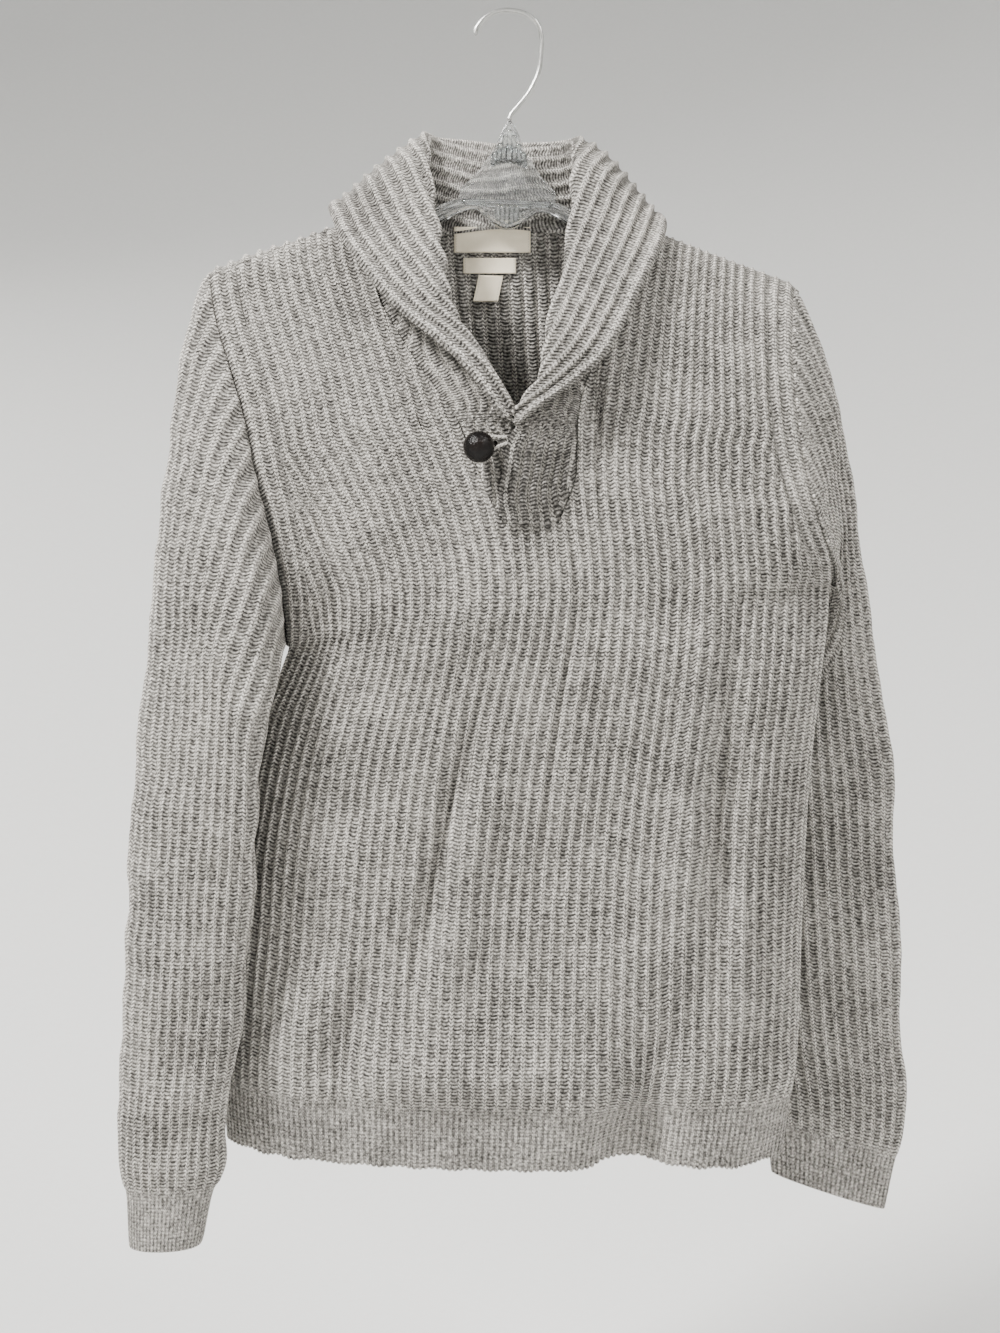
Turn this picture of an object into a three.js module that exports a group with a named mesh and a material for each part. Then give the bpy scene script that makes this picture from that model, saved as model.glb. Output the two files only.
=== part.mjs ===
// A shawl collar sweater hanging on a clear plastic hanger.
// Millimetres. +X is the viewer's right, +Y is away from the viewer, +Z is up.
// The origin is the inside top of the hanger's hook, where a rod or wall hook holds it.
// Left and right are the viewer's.
import * as THREE from "three";
import { mergeVertices } from "three/addons/utils/BufferGeometryUtils.js";

// ---- driving dimensions ----
const KNIT_WALL = 3; // thickness of the heavy rib knit
const SEAM_GAP = 0.3; // what separates two pieces at a seam
const ARM_ROWS = 9; // rows of cells from the shoulder seam down to the underarm
const SIDE_ROWS = 12; // rows of cells from the underarm down to the hem
const SHOULDER_COLUMNS = 4; // columns of cells across one shoulder
const SLOT_COLUMNS = 2; // columns of cells across the foot of the neck slot
const FRONT_STEPS = 15; // collar stations from the foot of the slot up to the shoulder
const BACK_STEPS = 12; // collar stations round the back neck
const COLLAR_CELLS = 8; // cells across the collar strip
const SLEEVE_ROWS = 18; // rows of cells from the armhole to the cuff
const SHOULDER_START = 0.0012; // the level where a panel's cloth starts below its shoulder seam
const SLEEVE_START = 0.0035; // where a sleeve's cloth starts past its armhole seam
const SLEEVE_EASE = 4; // how far a sleeve stands off the body's side under the arm
const ROW_SAMPLES = 60; // fine steps used to space a row evenly along its own length
const PANEL_WIDTH = 420; // about the length of a panel's row, seam to seam
const ARM_DEPTH = 300; // about the height of a panel from level 0 to level 1
const TENT_SOFTNESS = 0.12; // how far a row's raised middle is rounded off
const CREASE_FADE = 0.04; // a crease fades out over this share of the row at each edge
const SECTION_SQUARENESS = 0.8; // below 1 a sleeve's section is fuller than an ellipse
const ARMHOLE_REACH = 0.22; // share of a sleeve that is led over from the armhole's loop

const BUTTON_RADIUS = 10.8;
const BUTTON_CENTRE = new THREE.Vector3(-20.8, -67.5, -309.2);
const SHANK_FOOT = new THREE.Vector3(-9.5, -54.2, -306);
const SHANK_RADIUS = 2;
const LOOP_YARN = 1.1; // radius of the loop's yarn
const LOOP_END = new THREE.Vector3(-15.4, -55, -306.8); // beyond the button's shank
const LOOP_ANCHOR = new THREE.Vector3(-1.7, -63.2, -303.5);
const LOOP_HALF_WIDTH = 3.6;

const HOOK_WIRE = 1.6; // radius of the steel wire
const HANGER_TILT = THREE.MathUtils.degToRad(2); // the right arm hangs a little lower
const HANGER_TURN = THREE.MathUtils.degToRad(0.9); // and a little further back
const HANGER_PIVOT_Z = -97;
const ARM_HALF_THICK = 4;

// ---- tables: a row for each section ----

// An armhole, once round: turn 0 is the end of the shoulder seam, 0.5 the underarm, front first.
//      turn,    x,   y,    z
const ARMHOLE_LEFT = [
  [0.0, -211, -13, -187],
  [0.05, -206, -20, -215],
  [0.119, -195, -28, -250],
  [0.185, -184, -34, -284],
  [0.26, -175, -38, -324],
  [0.34, -164, -37, -367],
  [0.42, -157, -30, -410],
  [0.5, -158, -8, -448],
  [0.56, -166, 14, -425],
  [0.656, -180, 25, -370],
  [0.75, -192, 26, -315],
  [0.84, -200, 22, -262],
  [0.92, -208, 13, -215],
  [0.9765, -212, 0, -181],
];
const ARMHOLE_RIGHT = [
  [0.0, 204, 4, -190],
  [0.042, 201, -10, -204],
  [0.124, 198, -26, -240],
  [0.209, 200, -33, -280],
  [0.298, 206, -35, -322],
  [0.377, 217, -31, -358],
  [0.45, 229, -18, -388],
  [0.5, 231, 0, -404],
  [0.561, 222, 17, -385],
  [0.665, 210, 27, -340],
  [0.774, 203, 28, -290],
  [0.873, 201, 24, -245],
  [0.95, 203, 14, -208],
];

// A side seam, from the underarm (level 1) to the hem (level 2).
//    level,    x,  y,    z
const SIDE_LEFT = [
  [1.0, -158, -8, -448],
  [1.06, -165, -2, -470],
  [1.15, -178, 4, -503],
  [1.35, -191, 5, -574],
  [1.6, -202, 3, -664],
  [1.8, -207, 2, -736],
  [2.0, -206, 2, -808],
];
const SIDE_RIGHT = [
  [1.0, 231, 0, -404],
  [1.06, 228, -1, -429],
  [1.15, 223, -2, -466],
  [1.35, 215, 0, -549],
  [1.6, 211, 1, -653],
  [1.8, 209, 2, -736],
  [2.0, 200, 3, -819],
];

// The middle of each row of a panel, from the shoulder seam (level 0) to the hem (level 2):
// depth y, how far the middle is raised over a straight row on each half, and the row's form,
// from bowed (low flat) to flat (high flat) and from open edges (round 1) to rounded sides (2).
//    level,   y, rise_left, rise_right, flat, round
const FRONT = [
  [0.0, 0, 91, 71, 2, 1],
  [0.04, -9, 92, 76, 2, 1],
  [0.1, -15, 94, 72, 2, 1],
  [0.2, -21, 90, 70, 2.2, 1],
  [0.35, -33, 74, 60, 2.5, 1],
  [0.55, -43, 50, 42, 3, 1],
  [0.8, -48, 22, 18, 3, 1],
  [1.0, -49, 8, 6, 3, 1.15],
  [1.1, -48, 3, 2, 3.2, 1.6],
  [1.3, -47, 0, 0, 3.4, 1.9],
  [1.6, -47, 0, 0, 3.4, 1.9],
  [1.85, -50, 0, 0, 3.4, 1.9],
  [2.0, -45, -8, -2, 3.4, 1.9],
];
const BACK = [
  [0.0, 0, 91, 71, 2, 1],
  [0.04, 6, 83, 71, 2, 1],
  [0.1, 12, 91, 79, 2, 1],
  [0.2, 17, 94, 76, 2.2, 1],
  [0.35, 22, 84, 68, 2.5, 1],
  [0.55, 26, 58, 48, 3, 1],
  [0.8, 29, 26, 22, 3, 1],
  [1.0, 30, 8, 6, 3, 1.15],
  [1.1, 30, 3, 2, 3.2, 1.6],
  [1.3, 30, 0, 0, 3.2, 1.9],
  [1.6, 30, 0, 0, 3.2, 1.9],
  [1.85, 31, 0, 0, 3.2, 1.9],
  [2.0, 28, -6, -4, 3.2, 1.9],
];

// The main creases of the panels: soft troughs (push above 0, inwards) and ridges (below 0).
// across runs from 0 at the left edge to 1 at the right, slant is its change for each level.
//  across, from level, to level, half width, push, slant
const FRONT_CREASES = [
  [0.405, 1.05, 1.78, 0.022, 5, -0.1],
  [0.45, 1.1, 1.85, 0.03, -3, -0.09],
  [0.79, 0.95, 1.75, 0.024, 5, 0.05],
  [0.74, 0.9, 1.8, 0.03, -3.5, 0.03],
  [0.86, 1.35, 1.8, 0.03, -3, -0.02],
  [0.63, 0.38, 0.72, 0.022, 4, -0.03],
  [0.16, 1.55, 2.0, 0.05, -5, 0.02],
  [0.27, 1.55, 1.95, 0.03, 5, -0.12],
  [0.71, 1.7, 2.35, 0.05, 17, -0.02],
  [0.87, 1.75, 2.35, 0.05, -4, 0],
  [0.52, 0.62, 1.75, 0.012, 1.2, 0.02],
  [0.07, 0.35, 1.05, 0.03, 3, 0.05],
];
const BACK_CREASES = [
  [0.3, 0.5, 1.5, 0.03, 5, 0.06],
  [0.36, 0.6, 1.7, 0.035, -3, 0.05],
  [0.62, 0.9, 1.8, 0.025, 5, -0.06],
  [0.7, 0.8, 1.7, 0.035, -3, -0.03],
  [0.5, 1.5, 2.2, 0.06, 8, 0.03],
  [0.2, 1.5, 2.0, 0.04, -4, 0.02],
  [0.82, 1.3, 1.9, 0.03, 4, 0.02],
];

// The neck seam and the collar strip sewn to it, from the left foot of the slot, round the
// back neck, to the right foot. The seam lies at (across, level) on a panel: a level below 0
// is on the back. roll is the point where the strip turns over and edge its free edge; spread
// is a third on a flat band and more on a full roll; lift is how far the strip starts from
// the panel's own edge.
// station, across, level, roll x, y, z, edge x, y, z, spread, lift
const COLLAR = [
  [0.0, 0.411, 0.771, 6, -46.5, -358.5, 20, -46.5, -358.5, 0.33, 1.3],
  [0.8, 0.39, 0.7, -3, -49, -338, 17, -48, -338, 0.33, 1.3],
  [1.6, 0.383, 0.633, -7, -50.5, -316, 14, -49.5, -316, 0.33, 1.3],
  [2.4, 0.38, 0.575, -11, -52, -298, 6, -52, -298, 0.34, 1.3],
  [3.0, 0.366, 0.53, -2, -54, -284, -7, -60, -287, 0.6, 1.3],
  [4.0, 0.341, 0.465, -15, -53, -253, -28, -59, -258, 0.8, 0.8],
  [5.0, 0.313, 0.39, -31, -46, -231, -51, -57, -236, 1.0, 1.0],
  [6.0, 0.288, 0.305, -40, -38, -207, -75, -50, -216, 1.1, 1.3],
  [7.0, 0.27, 0.22, -45, -28, -181, -92, -42, -198, 1.2, 1.6],
  [8.0, 0.262, 0.105, -52, -15, -145, -116, -25, -164, 1.35, 1.8],
  [9.0, 0.258, 0.0, -57.5, 2, -104.5, -128, -5, -138, 1.5, 1.8],
  [10.0, 0.275, -0.06, -61, 22, -80, -125, 26, -138, 1.48, 1.8],
  [11.0, 0.34, -0.13, -49, 34, -82, -95, 52, -149, 1.35, 1.8],
  [12.0, 0.43, -0.17, -18, 38, -84, -38, 63, -153, 1.3, 1.8],
  [13.0, 0.53, -0.17, 14, 38, -84, 34, 63, -154, 1.3, 1.8],
  [14.0, 0.62, -0.13, 41, 34, -83, 80, 52, -152, 1.35, 1.8],
  [15.0, 0.68, -0.06, 52.5, 22, -83, 108, 27, -147, 1.55, 1.8],
  [16.0, 0.7, 0.0, 50.5, 2, -107, 112, -4, -148, 1.55, 1.8],
  [17.0, 0.695, 0.12, 46.5, -15, -146, 105, -24, -170, 1.35, 1.8],
  [18.0, 0.68, 0.23, 39, -28, -181, 91, -42, -199, 1.2, 1.6],
  [19.0, 0.655, 0.345, 32, -38, -208, 80, -52, -222, 1.1, 1.3],
  [20.0, 0.628, 0.435, 26, -47, -235, 66, -60, -246, 1.0, 1.0],
  [21.0, 0.6, 0.51, 20, -55, -262, 44, -64, -266, 0.8, 0.8],
  [22.0, 0.585, 0.565, 7, -60, -286, 14, -65, -287, 0.6, 0.9],
  [22.7, 0.578, 0.6, 22, -60, -305, 0, -61, -303, 0.35, 1.3],
  [23.4, 0.571, 0.64, 21, -57, -322, -4, -58.5, -322, 0.33, 1.3],
  [24.2, 0.555, 0.7, 19, -56, -341, -7, -57, -343, 0.33, 1.3],
  [25.0, 0.509, 0.785, 14, -53, -358.5, -4, -54, -358.5, 0.33, 1.3],
];
const LEFT_SHOULDER_STATION = 9;
const RIGHT_SHOULDER_STATION = 16;

// A sleeve, from the armhole (0) to the cuff (1): the outer and inner edges of each section
// and half its thickness.
//     at, outer x, y, z, inner x, y, z, half thickness
const SLEEVE_LEFT = [
  [0.0, -212, -5, -187, -158, -10, -448, 31],
  [0.05, -225, -6, -216, -160, -34, -462, 33],
  [0.1, -234, -9, -258, -163, -48, -482, 33],
  [0.2, -240, -15, -326, -175, -54, -527, 31],
  [0.3, -247, -21, -395, -177, -55, -572, 29],
  [0.4, -255, -28, -463, -180, -53, -618, 27],
  [0.5, -262, -33, -532, -185, -50, -660, 26],
  [0.6, -265, -36, -601, -189, -47, -702, 25],
  [0.7, -268, -38, -669, -195, -44, -745, 24],
  [0.8, -273, -39, -738, -202, -42, -787, 23],
  [0.86, -275, -39, -779, -205, -41, -812, 22],
  [0.92, -272, -39, -820, -212, -40, -838, 20],
  [1.0, -270, -41, -871, -218, -43, -869, 19],
];
const SLEEVE_RIGHT = [
  [0.0, 205, 4, -190, 231, 0, -404, 25],
  [0.05, 221, 10, -222, 240, 14, -424, 25],
  [0.1, 234, 18, -259, 242, 28, -449, 23],
  [0.15, 242, 23, -293, 234, 38, -472, 21],
  [0.2, 249, 28, -327, 216, 46, -494, 19],
  [0.3, 262, 35, -396, 188, 50, -539, 16],
  [0.4, 274, 39, -464, 178, 49, -584, 14],
  [0.5, 285, 41, -533, 176, 49, -629, 13],
  [0.6, 290, 42, -602, 178, 48, -674, 12],
  [0.7, 293, 42, -670, 182, 47, -719, 12],
  [0.8, 297, 42, -739, 188, 45, -764, 11],
  [0.86, 298, 42, -780, 194, 44, -791, 11],
  [0.92, 295, 41, -821, 197, 43, -818, 10],
  [1.0, 285, 40, -876, 199, 41, -848, 10],
];

// The hanger's arms before they tilt: the top and bottom lines at a distance from the middle.
//   out,   top, bottom
const HANGER_ARM = [
  [0, -74.5, -151],
  [5, -82, -150],
  [13, -99, -145],
  [22, -112, -137],
  [35, -124, -141],
  [60, -141, -156],
  [100, -154, -171],
  [150, -169.5, -187],
  [196, -187, -203],
];

// The labels at the back neck: width, height, centre x and top z, and how far each one
// swings about its top edge as it hangs.
const LABELS = {
  label_main: { width: 55, height: 18, x: -12, top: -147, shear: 0, lift: 2.3, curl: 1.5 },
  label_small: { width: 38, height: 11, x: -14, top: -168.5, shear: 0, lift: 2.3, curl: 0.8 },
  label_care: { width: 18, height: 19, x: -13, top: -180.5, shear: -4, lift: 2.3, curl: 3 },
};
const LABEL_THICK = 0.8;

// ---- small helpers ----
const clamp = THREE.MathUtils.clamp;
const lerp = THREE.MathUtils.lerp;
const smooth = (t) => THREE.MathUtils.smoothstep(t, 0, 1);

// A table's row at x: each column is a smooth curve through the rows, against the first column.
function rowAt(table, x) {
  const last = table.length - 1;
  let i = 0;
  while (i < last - 1 && x > table[i + 1][0]) {
    i += 1;
  }
  const from = table[i];
  const to = table[i + 1];
  const before = table[Math.max(i - 1, 0)];
  const after = table[Math.min(i + 2, last)];
  const span = to[0] - from[0];
  const t = clamp((x - from[0]) / span, 0, 1);
  return from.map((start, column) => {
    const end = to[column];
    const slopeFrom = ((end - before[column]) / (to[0] - before[0])) * span;
    const slopeTo = ((after[column] - start) / (after[0] - from[0])) * span;
    const rise = end - start;
    return (
      start +
      t * (slopeFrom + t * (3 * rise - 2 * slopeFrom - slopeTo + t * (slopeFrom + slopeTo - 2 * rise)))
    );
  });
}

// The same for a closed ring, whose first column runs from 0 to 1 and starts again.
function ringAt(table, turn) {
  const last = table[table.length - 1];
  const first = table[0];
  const closed = [
    [last[0] - 1, ...last.slice(1)],
    ...table,
    [1, ...first.slice(1)],
    [1 + table[1][0], ...table[1].slice(1)],
  ];
  return rowAt(closed, turn - Math.floor(turn));
}

const point = (row, at = 1) => new THREE.Vector3(row[at], row[at + 1], row[at + 2]);

// ---- the body panels ----

// The left or right edge of a panel at a level: its armhole down to level 1, then its side seam.
function panelEdge(armhole, side, facing, level) {
  if (level >= 1) {
    return point(rowAt(side, level));
  }
  const turn = facing < 0 ? level / 2 : 1 - level / 2;
  return point(ringAt(armhole, turn));
}

// The creases' push at a place: each is a bell across its line, faded in and out along it.
function creasePush(creases, across, level) {
  return creases.reduce((sum, [place, from, to, halfWidth, push, slant]) => {
    const along = clamp((level - from) / (to - from), 0, 1);
    const bell = Math.exp(-(((across - place - slant * (level - from)) / halfWidth) ** 2));
    return sum + push * bell * Math.sin(Math.PI * along) ** 2;
  }, 0);
}

// A point of a panel's middle surface. c runs from -1 at the left edge to 1 at the right; it
// starts on the straight line between the edges, rises like a tent and bows out in depth.
function rowPoint(facing, c, level, left, right, middle) {
  const [, depth, riseLeft, riseRight, flat, round] = middle;
  const t = (c + 1) / 2;
  const bow = (1 - Math.abs(c) ** flat) ** (1 / round);
  const tent = Math.hypot(1, TENT_SOFTNESS) - Math.hypot(c, TENT_SOFTNESS);
  const p = left.clone().lerp(right, t);
  p.y = lerp(left.y, right.y, t) + (depth - (left.y + right.y) / 2) * bow;
  p.z += lerp(riseLeft, riseRight, t) * tent;
  return p;
}

// A panel's point at (across, level), where across is a share of the row's own length.
function panelPoint(facing, across, level) {
  const middle = rowAt(facing < 0 ? FRONT : BACK, level);
  const left = panelEdge(ARMHOLE_LEFT, SIDE_LEFT, facing, level);
  const right = panelEdge(ARMHOLE_RIGHT, SIDE_RIGHT, facing, level);
  const row = [];
  const reach = [0];
  for (let k = 0; k <= ROW_SAMPLES; k += 1) {
    const c = Math.sin((Math.PI / 2) * ((2 * k) / ROW_SAMPLES - 1));
    row.push(rowPoint(facing, c, level, left, right, middle));
    if (k > 0) {
      reach.push(reach[k - 1] + row[k].distanceTo(row[k - 1]));
    }
  }
  const target = clamp(across, 0, 1) * reach[ROW_SAMPLES];
  let k = 0;
  while (k < ROW_SAMPLES - 1 && target > reach[k + 1]) {
    k += 1;
  }
  const p = row[k].clone().lerp(row[k + 1], (target - reach[k]) / (reach[k + 1] - reach[k]));
  const creases = facing < 0 ? FRONT_CREASES : BACK_CREASES;
  p.y -= facing * creasePush(creases, across, level) * smooth(Math.min(across, 1 - across) / CREASE_FADE);
  return p;
}

// ---- shells ----

// A place on a surface, with the direction square to it found from short steps along it that
// stay inside the surface's limits.
function placed(surface, across, down, end, lowest = 0, highest = 1) {
  const step = 0.002;
  const over = surface(Math.min(across + step, highest), down);
  const back = surface(Math.max(across - step, lowest), down);
  const below = surface(across, Math.min(down + step, end));
  const above = surface(across, Math.max(down - step, 0));
  const normal = over.sub(back).cross(below.sub(above)).normalize();
  return { point: surface(across, down), normal };
}

// The direction square to both panels at once where they are sewn together, so that the two
// rims lie side by side.
function seamNormal(own, other) {
  return own.normal.sub(other.normal).normalize();
}

// A closed shell from a grid of places: an outer and an inner sheet half a wall away on each
// side, and a rim round every open edge. A closed grid joins its last column to its first.
function shell(grid, wall, closed = false) {
  const rows = grid.length;
  const columns = grid[0].length;
  const places = grid.flat();
  const outer = places.map(({ point: p, normal }) => p.clone().addScaledVector(normal, -wall / 2));
  const inner = places.map(({ point: p, normal }) => p.clone().addScaledVector(normal, wall / 2));
  const vertices = [...outer, ...inner];
  const inside = outer.length;
  const id = (i, j) => i * columns + ((j + columns) % columns);
  const faces = [];
  const quad = (a, b, c, d) => faces.push(a, b, c, a, c, d);
  const lastColumn = closed ? columns : columns - 1;
  for (let i = 0; i < rows - 1; i += 1) {
    for (let j = 0; j < lastColumn; j += 1) {
      quad(id(i, j), id(i + 1, j), id(i + 1, j + 1), id(i, j + 1));
      quad(inside + id(i, j), inside + id(i, j + 1), inside + id(i + 1, j + 1), inside + id(i + 1, j));
    }
  }
  for (let j = 0; j < lastColumn; j += 1) {
    quad(id(0, j), id(0, j + 1), inside + id(0, j + 1), inside + id(0, j));
    quad(id(rows - 1, j + 1), id(rows - 1, j), inside + id(rows - 1, j), inside + id(rows - 1, j + 1));
  }
  if (!closed) {
    for (let i = 0; i < rows - 1; i += 1) {
      quad(id(i + 1, 0), id(i, 0), inside + id(i, 0), inside + id(i + 1, 0));
      const [a, b] = [id(i, columns - 1), id(i + 1, columns - 1)];
      quad(a, b, inside + b, inside + a);
    }
  }
  return solid(vertices, faces);
}

// A geometry from vertices and faces, turned inside out if its volume comes out negative.
function solid(vertices, faces) {
  let volume = 0;
  for (let k = 0; k < faces.length; k += 3) {
    const [a, b, c] = [vertices[faces[k]], vertices[faces[k + 1]], vertices[faces[k + 2]]];
    volume += a.dot(b.clone().cross(c));
  }
  const index = volume > 0 ? faces : faces.slice().reverse();
  const geometry = new THREE.BufferGeometry();
  const positions = new THREE.Float32BufferAttribute(vertices.flatMap((v) => v.toArray()), 3);
  geometry.setAttribute("position", positions);
  geometry.setIndex(index);
  geometry.computeVertexNormals();
  return geometry;
}

// ---- panels as shells ----

// The levels of a panel's rows: close together at the shoulder, then even down to the hem.
function rowLevels() {
  const levels = [];
  for (let j = 0; j <= ARM_ROWS; j += 1) {
    levels.push((j / ARM_ROWS) ** 1.5);
  }
  for (let j = 1; j <= SIDE_ROWS; j += 1) {
    levels.push(1 + j / SIDE_ROWS);
  }
  return levels;
}

// The collar's stations: even along each front and along the back neck.
function collarStations() {
  const stations = [];
  const last = COLLAR[COLLAR.length - 1][0];
  const legs = [
    [0, LEFT_SHOULDER_STATION, FRONT_STEPS],
    [LEFT_SHOULDER_STATION, RIGHT_SHOULDER_STATION, BACK_STEPS],
    [RIGHT_SHOULDER_STATION, last, FRONT_STEPS],
  ];
  legs.forEach(([from, to, steps]) => {
    for (let k = 0; k < steps; k += 1) {
      stations.push(lerp(from, to, k / steps));
    }
  });
  return [...stations, last];
}

// A panel's columns: each has its place across and the level of its top, at the shoulder seam
// or on the neck seam. The front's are in the order left shoulder, slot, right shoulder.
function panelColumns(facing) {
  const seam = collarStations().map((station) => {
    const [, across, level] = rowAt(COLLAR, station);
    return { across, top: Math.abs(level) };
  });
  const leftFront = seam.slice(0, FRONT_STEPS + 1).reverse();
  const back = seam.slice(FRONT_STEPS, FRONT_STEPS + BACK_STEPS + 1);
  const rightFront = seam.slice(FRONT_STEPS + BACK_STEPS).reverse();
  leftFront[0].top = 0;
  rightFront[rightFront.length - 1].top = 0;
  const slot = [];
  for (let k = 1; k < SLOT_COLUMNS; k += 1) {
    const t = k / SLOT_COLUMNS;
    const [a, b] = [leftFront[leftFront.length - 1], rightFront[0]];
    slot.push({ across: lerp(a.across, b.across, t), top: lerp(a.top, b.top, t) });
  }
  const neck = facing < 0 ? [...leftFront, ...slot, ...rightFront] : back;
  const shoulder = (from, to) =>
    Array.from({ length: SHOULDER_COLUMNS }, (_, k) => ({
      across: lerp(from, to, k / SHOULDER_COLUMNS),
      top: 0,
    }));
  const leftShoulder = shoulder(0, neck[0].across);
  const rightShoulder = shoulder(1, neck[neck.length - 1].across).reverse();
  return [...leftShoulder, ...neck, ...rightShoulder];
}

// A panel's grid. A column that starts on the neck seam packs its rows below that seam, and
// the columns spread out evenly towards the hem.
function panelGrid(facing) {
  const columns = panelColumns(facing);
  const hem = 2;
  return rowLevels().map((rowLevel) =>
    columns.map(({ across, top }, k) => {
      const level = top + (rowLevel * (hem - top)) / hem;
      const even = k / (columns.length - 1);
      const share = lerp(across, even, smooth(rowLevel / hem));
      const edge = SEAM_GAP / 2 / PANEL_WIDTH;
      const inShare = clamp(share, edge, 1 - edge);
      const below = Math.max(level, SHOULDER_START);
      const place = (side) => placed((a, l) => panelPoint(side, a, l), inShare, below, hem);
      const here = place(facing);
      const sewn = level <= SHOULDER_START || (rowLevel >= 1 && (k === 0 || k === columns.length - 1));
      return sewn ? { point: here.point, normal: seamNormal(here, place(-facing)) } : here;
    }),
  );
}

// ---- sleeves ----

// A place on a sleeve's section: a flat oval between its outer and inner edges, front first.
function sectionPoint(row, angle) {
  const p = point(row, 4).lerp(point(row, 1), (1 + Math.cos(angle)) / 2);
  const side = Math.sin(angle);
  p.y -= row[7] * Math.sign(side) * Math.abs(side) ** SECTION_SQUARENESS;
  return p;
}

// A point of a sleeve: its own section, led over from the armhole's loop near the start. The
// loop stands off the body under the arm, where the sleeve passes the body's side.
function sleevePoint(armhole, table, turn, at) {
  const angle = 2 * Math.PI * turn;
  const p = sectionPoint(rowAt(table, at), angle);
  const loop = point(ringAt(armhole, turn));
  loop.x += (Math.sign(loop.x) * SLEEVE_EASE * (1 - Math.cos(angle))) / 2;
  const apart = loop.sub(sectionPoint(table[0], angle));
  return p.addScaledVector(apart, 1 - smooth(at / ARMHOLE_REACH));
}

// Rings down the sleeve, with a column at each row of the two panels' armhole edges.
function sleeveGrid(armhole, table) {
  const levels = rowLevels().slice(0, ARM_ROWS + 1);
  const front = levels.map((level) => level / 2);
  const back = front.slice(1, -1).reverse().map((turn) => 1 - turn);
  const turns = [...front, ...back];
  const surface = (turn, along) => sleevePoint(armhole, table, turn, along);
  const grid = [];
  for (let i = 0; i <= SLEEVE_ROWS; i += 1) {
    const at = (i / SLEEVE_ROWS) ** 1.15;
    grid.push(turns.map((turn) => placed(surface, turn, Math.max(at, SLEEVE_START), 1, -1, 2)));
  }
  return grid;
}

// ---- collar ----

// Across the strip it is one cubic curve from the seam over the roll to the free edge.
function collarCurve(station) {
  const row = rowAt(COLLAR, station);
  const [, across, level] = row;
  const spread = row[9];
  const seam = panelPoint(level < 0 ? 1 : -1, across, Math.max(Math.abs(level), SHOULDER_START));
  const roll = point(row, 3);
  const edge = point(row, 6);
  const crest = roll.clone().multiplyScalar(8).sub(seam).sub(edge).divideScalar(6);
  const apart = edge.clone().sub(seam).multiplyScalar(spread / 2);
  const first = crest.clone().sub(apart);
  const second = crest.clone().add(apart);
  const start = seam.clone().add(first.clone().sub(seam).setLength(row[10]));
  return new THREE.CubicBezierCurve3(start, first, second, edge);
}

function collarGrid() {
  const last = COLLAR[COLLAR.length - 1][0];
  const surface = (across, station) => collarCurve(station).getPointAt(across);
  return collarStations().map((station) =>
    Array.from({ length: COLLAR_CELLS + 1 }, (_, k) => placed(surface, k / COLLAR_CELLS, station, last)),
  );
}

// ---- labels ----

// A label lies in front of the back panel's inner face, hangs from its top edge and curls a little.
function labelGrid({ width, height, x, top, shear, lift, curl }) {
  const grid = [];
  const steps = 3;
  for (let i = 0; i <= steps; i += 1) {
    const down = i / steps;
    const row = [];
    for (let j = 0; j <= steps; j += 1) {
      const px = x + shear * down + (j / steps - 0.5) * width;
      const pz = top - height * down;
      const p = new THREE.Vector3(px, backInnerDepth(px, pz) - lift - curl * down * down, pz);
      row.push({ point: p, normal: new THREE.Vector3(0, 1, 0) });
    }
    grid.push(row);
  }
  return grid;
}

// The depth of the back panel's middle surface at a place near the centre back.
function backInnerDepth(x, z) {
  let across = 0.5;
  let level = 0.3;
  for (let k = 0; k < 12; k += 1) {
    const p = panelPoint(1, across, level);
    across += (x - p.x) / PANEL_WIDTH;
    level -= (z - p.z) / ARM_DEPTH;
  }
  return panelPoint(1, across, level).y;
}

// ---- button, loop, hanger ----

// A closed tube along a curve.
function tube(curve, radius, steps, sides = 10) {
  const outline = new THREE.Shape();
  for (let k = 0; k < sides; k += 1) {
    const angle = (2 * Math.PI * k) / sides;
    const [x, y] = [radius * Math.cos(angle), radius * Math.sin(angle)];
    if (k === 0) {
      outline.moveTo(x, y);
    } else {
      outline.lineTo(x, y);
    }
  }
  outline.closePath();
  const geometry = new THREE.ExtrudeGeometry(outline, { steps, extrudePath: curve, bevelEnabled: false });
  geometry.deleteAttribute("normal");
  geometry.deleteAttribute("uv");
  return mergeVertices(geometry, 1e-4);
}

// The ball and the shank that ties it to the band beneath, as one turned body.
function buttonGeometry() {
  const axis = SHANK_FOOT.clone().sub(BUTTON_CENTRE);
  const length = axis.length();
  const neck = Math.asin(SHANK_RADIUS / BUTTON_RADIUS);
  const steps = 10;
  const profile = [new THREE.Vector2(0, -BUTTON_RADIUS)];
  for (let k = 1; k <= steps; k += 1) {
    const angle = -Math.PI / 2 + ((Math.PI - neck) * k) / steps;
    profile.push(new THREE.Vector2(BUTTON_RADIUS * Math.cos(angle), BUTTON_RADIUS * Math.sin(angle)));
  }
  profile.push(new THREE.Vector2(SHANK_RADIUS, length), new THREE.Vector2(0, length));
  const geometry = new THREE.LatheGeometry(profile, 18);
  geometry.deleteAttribute("normal");
  geometry.deleteAttribute("uv");
  const up = new THREE.Vector3(0, 1, 0);
  geometry.applyQuaternion(new THREE.Quaternion().setFromUnitVectors(up, axis.normalize()));
  geometry.translate(...BUTTON_CENTRE.toArray());
  return mergeVertices(geometry, 1e-4);
}

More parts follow.
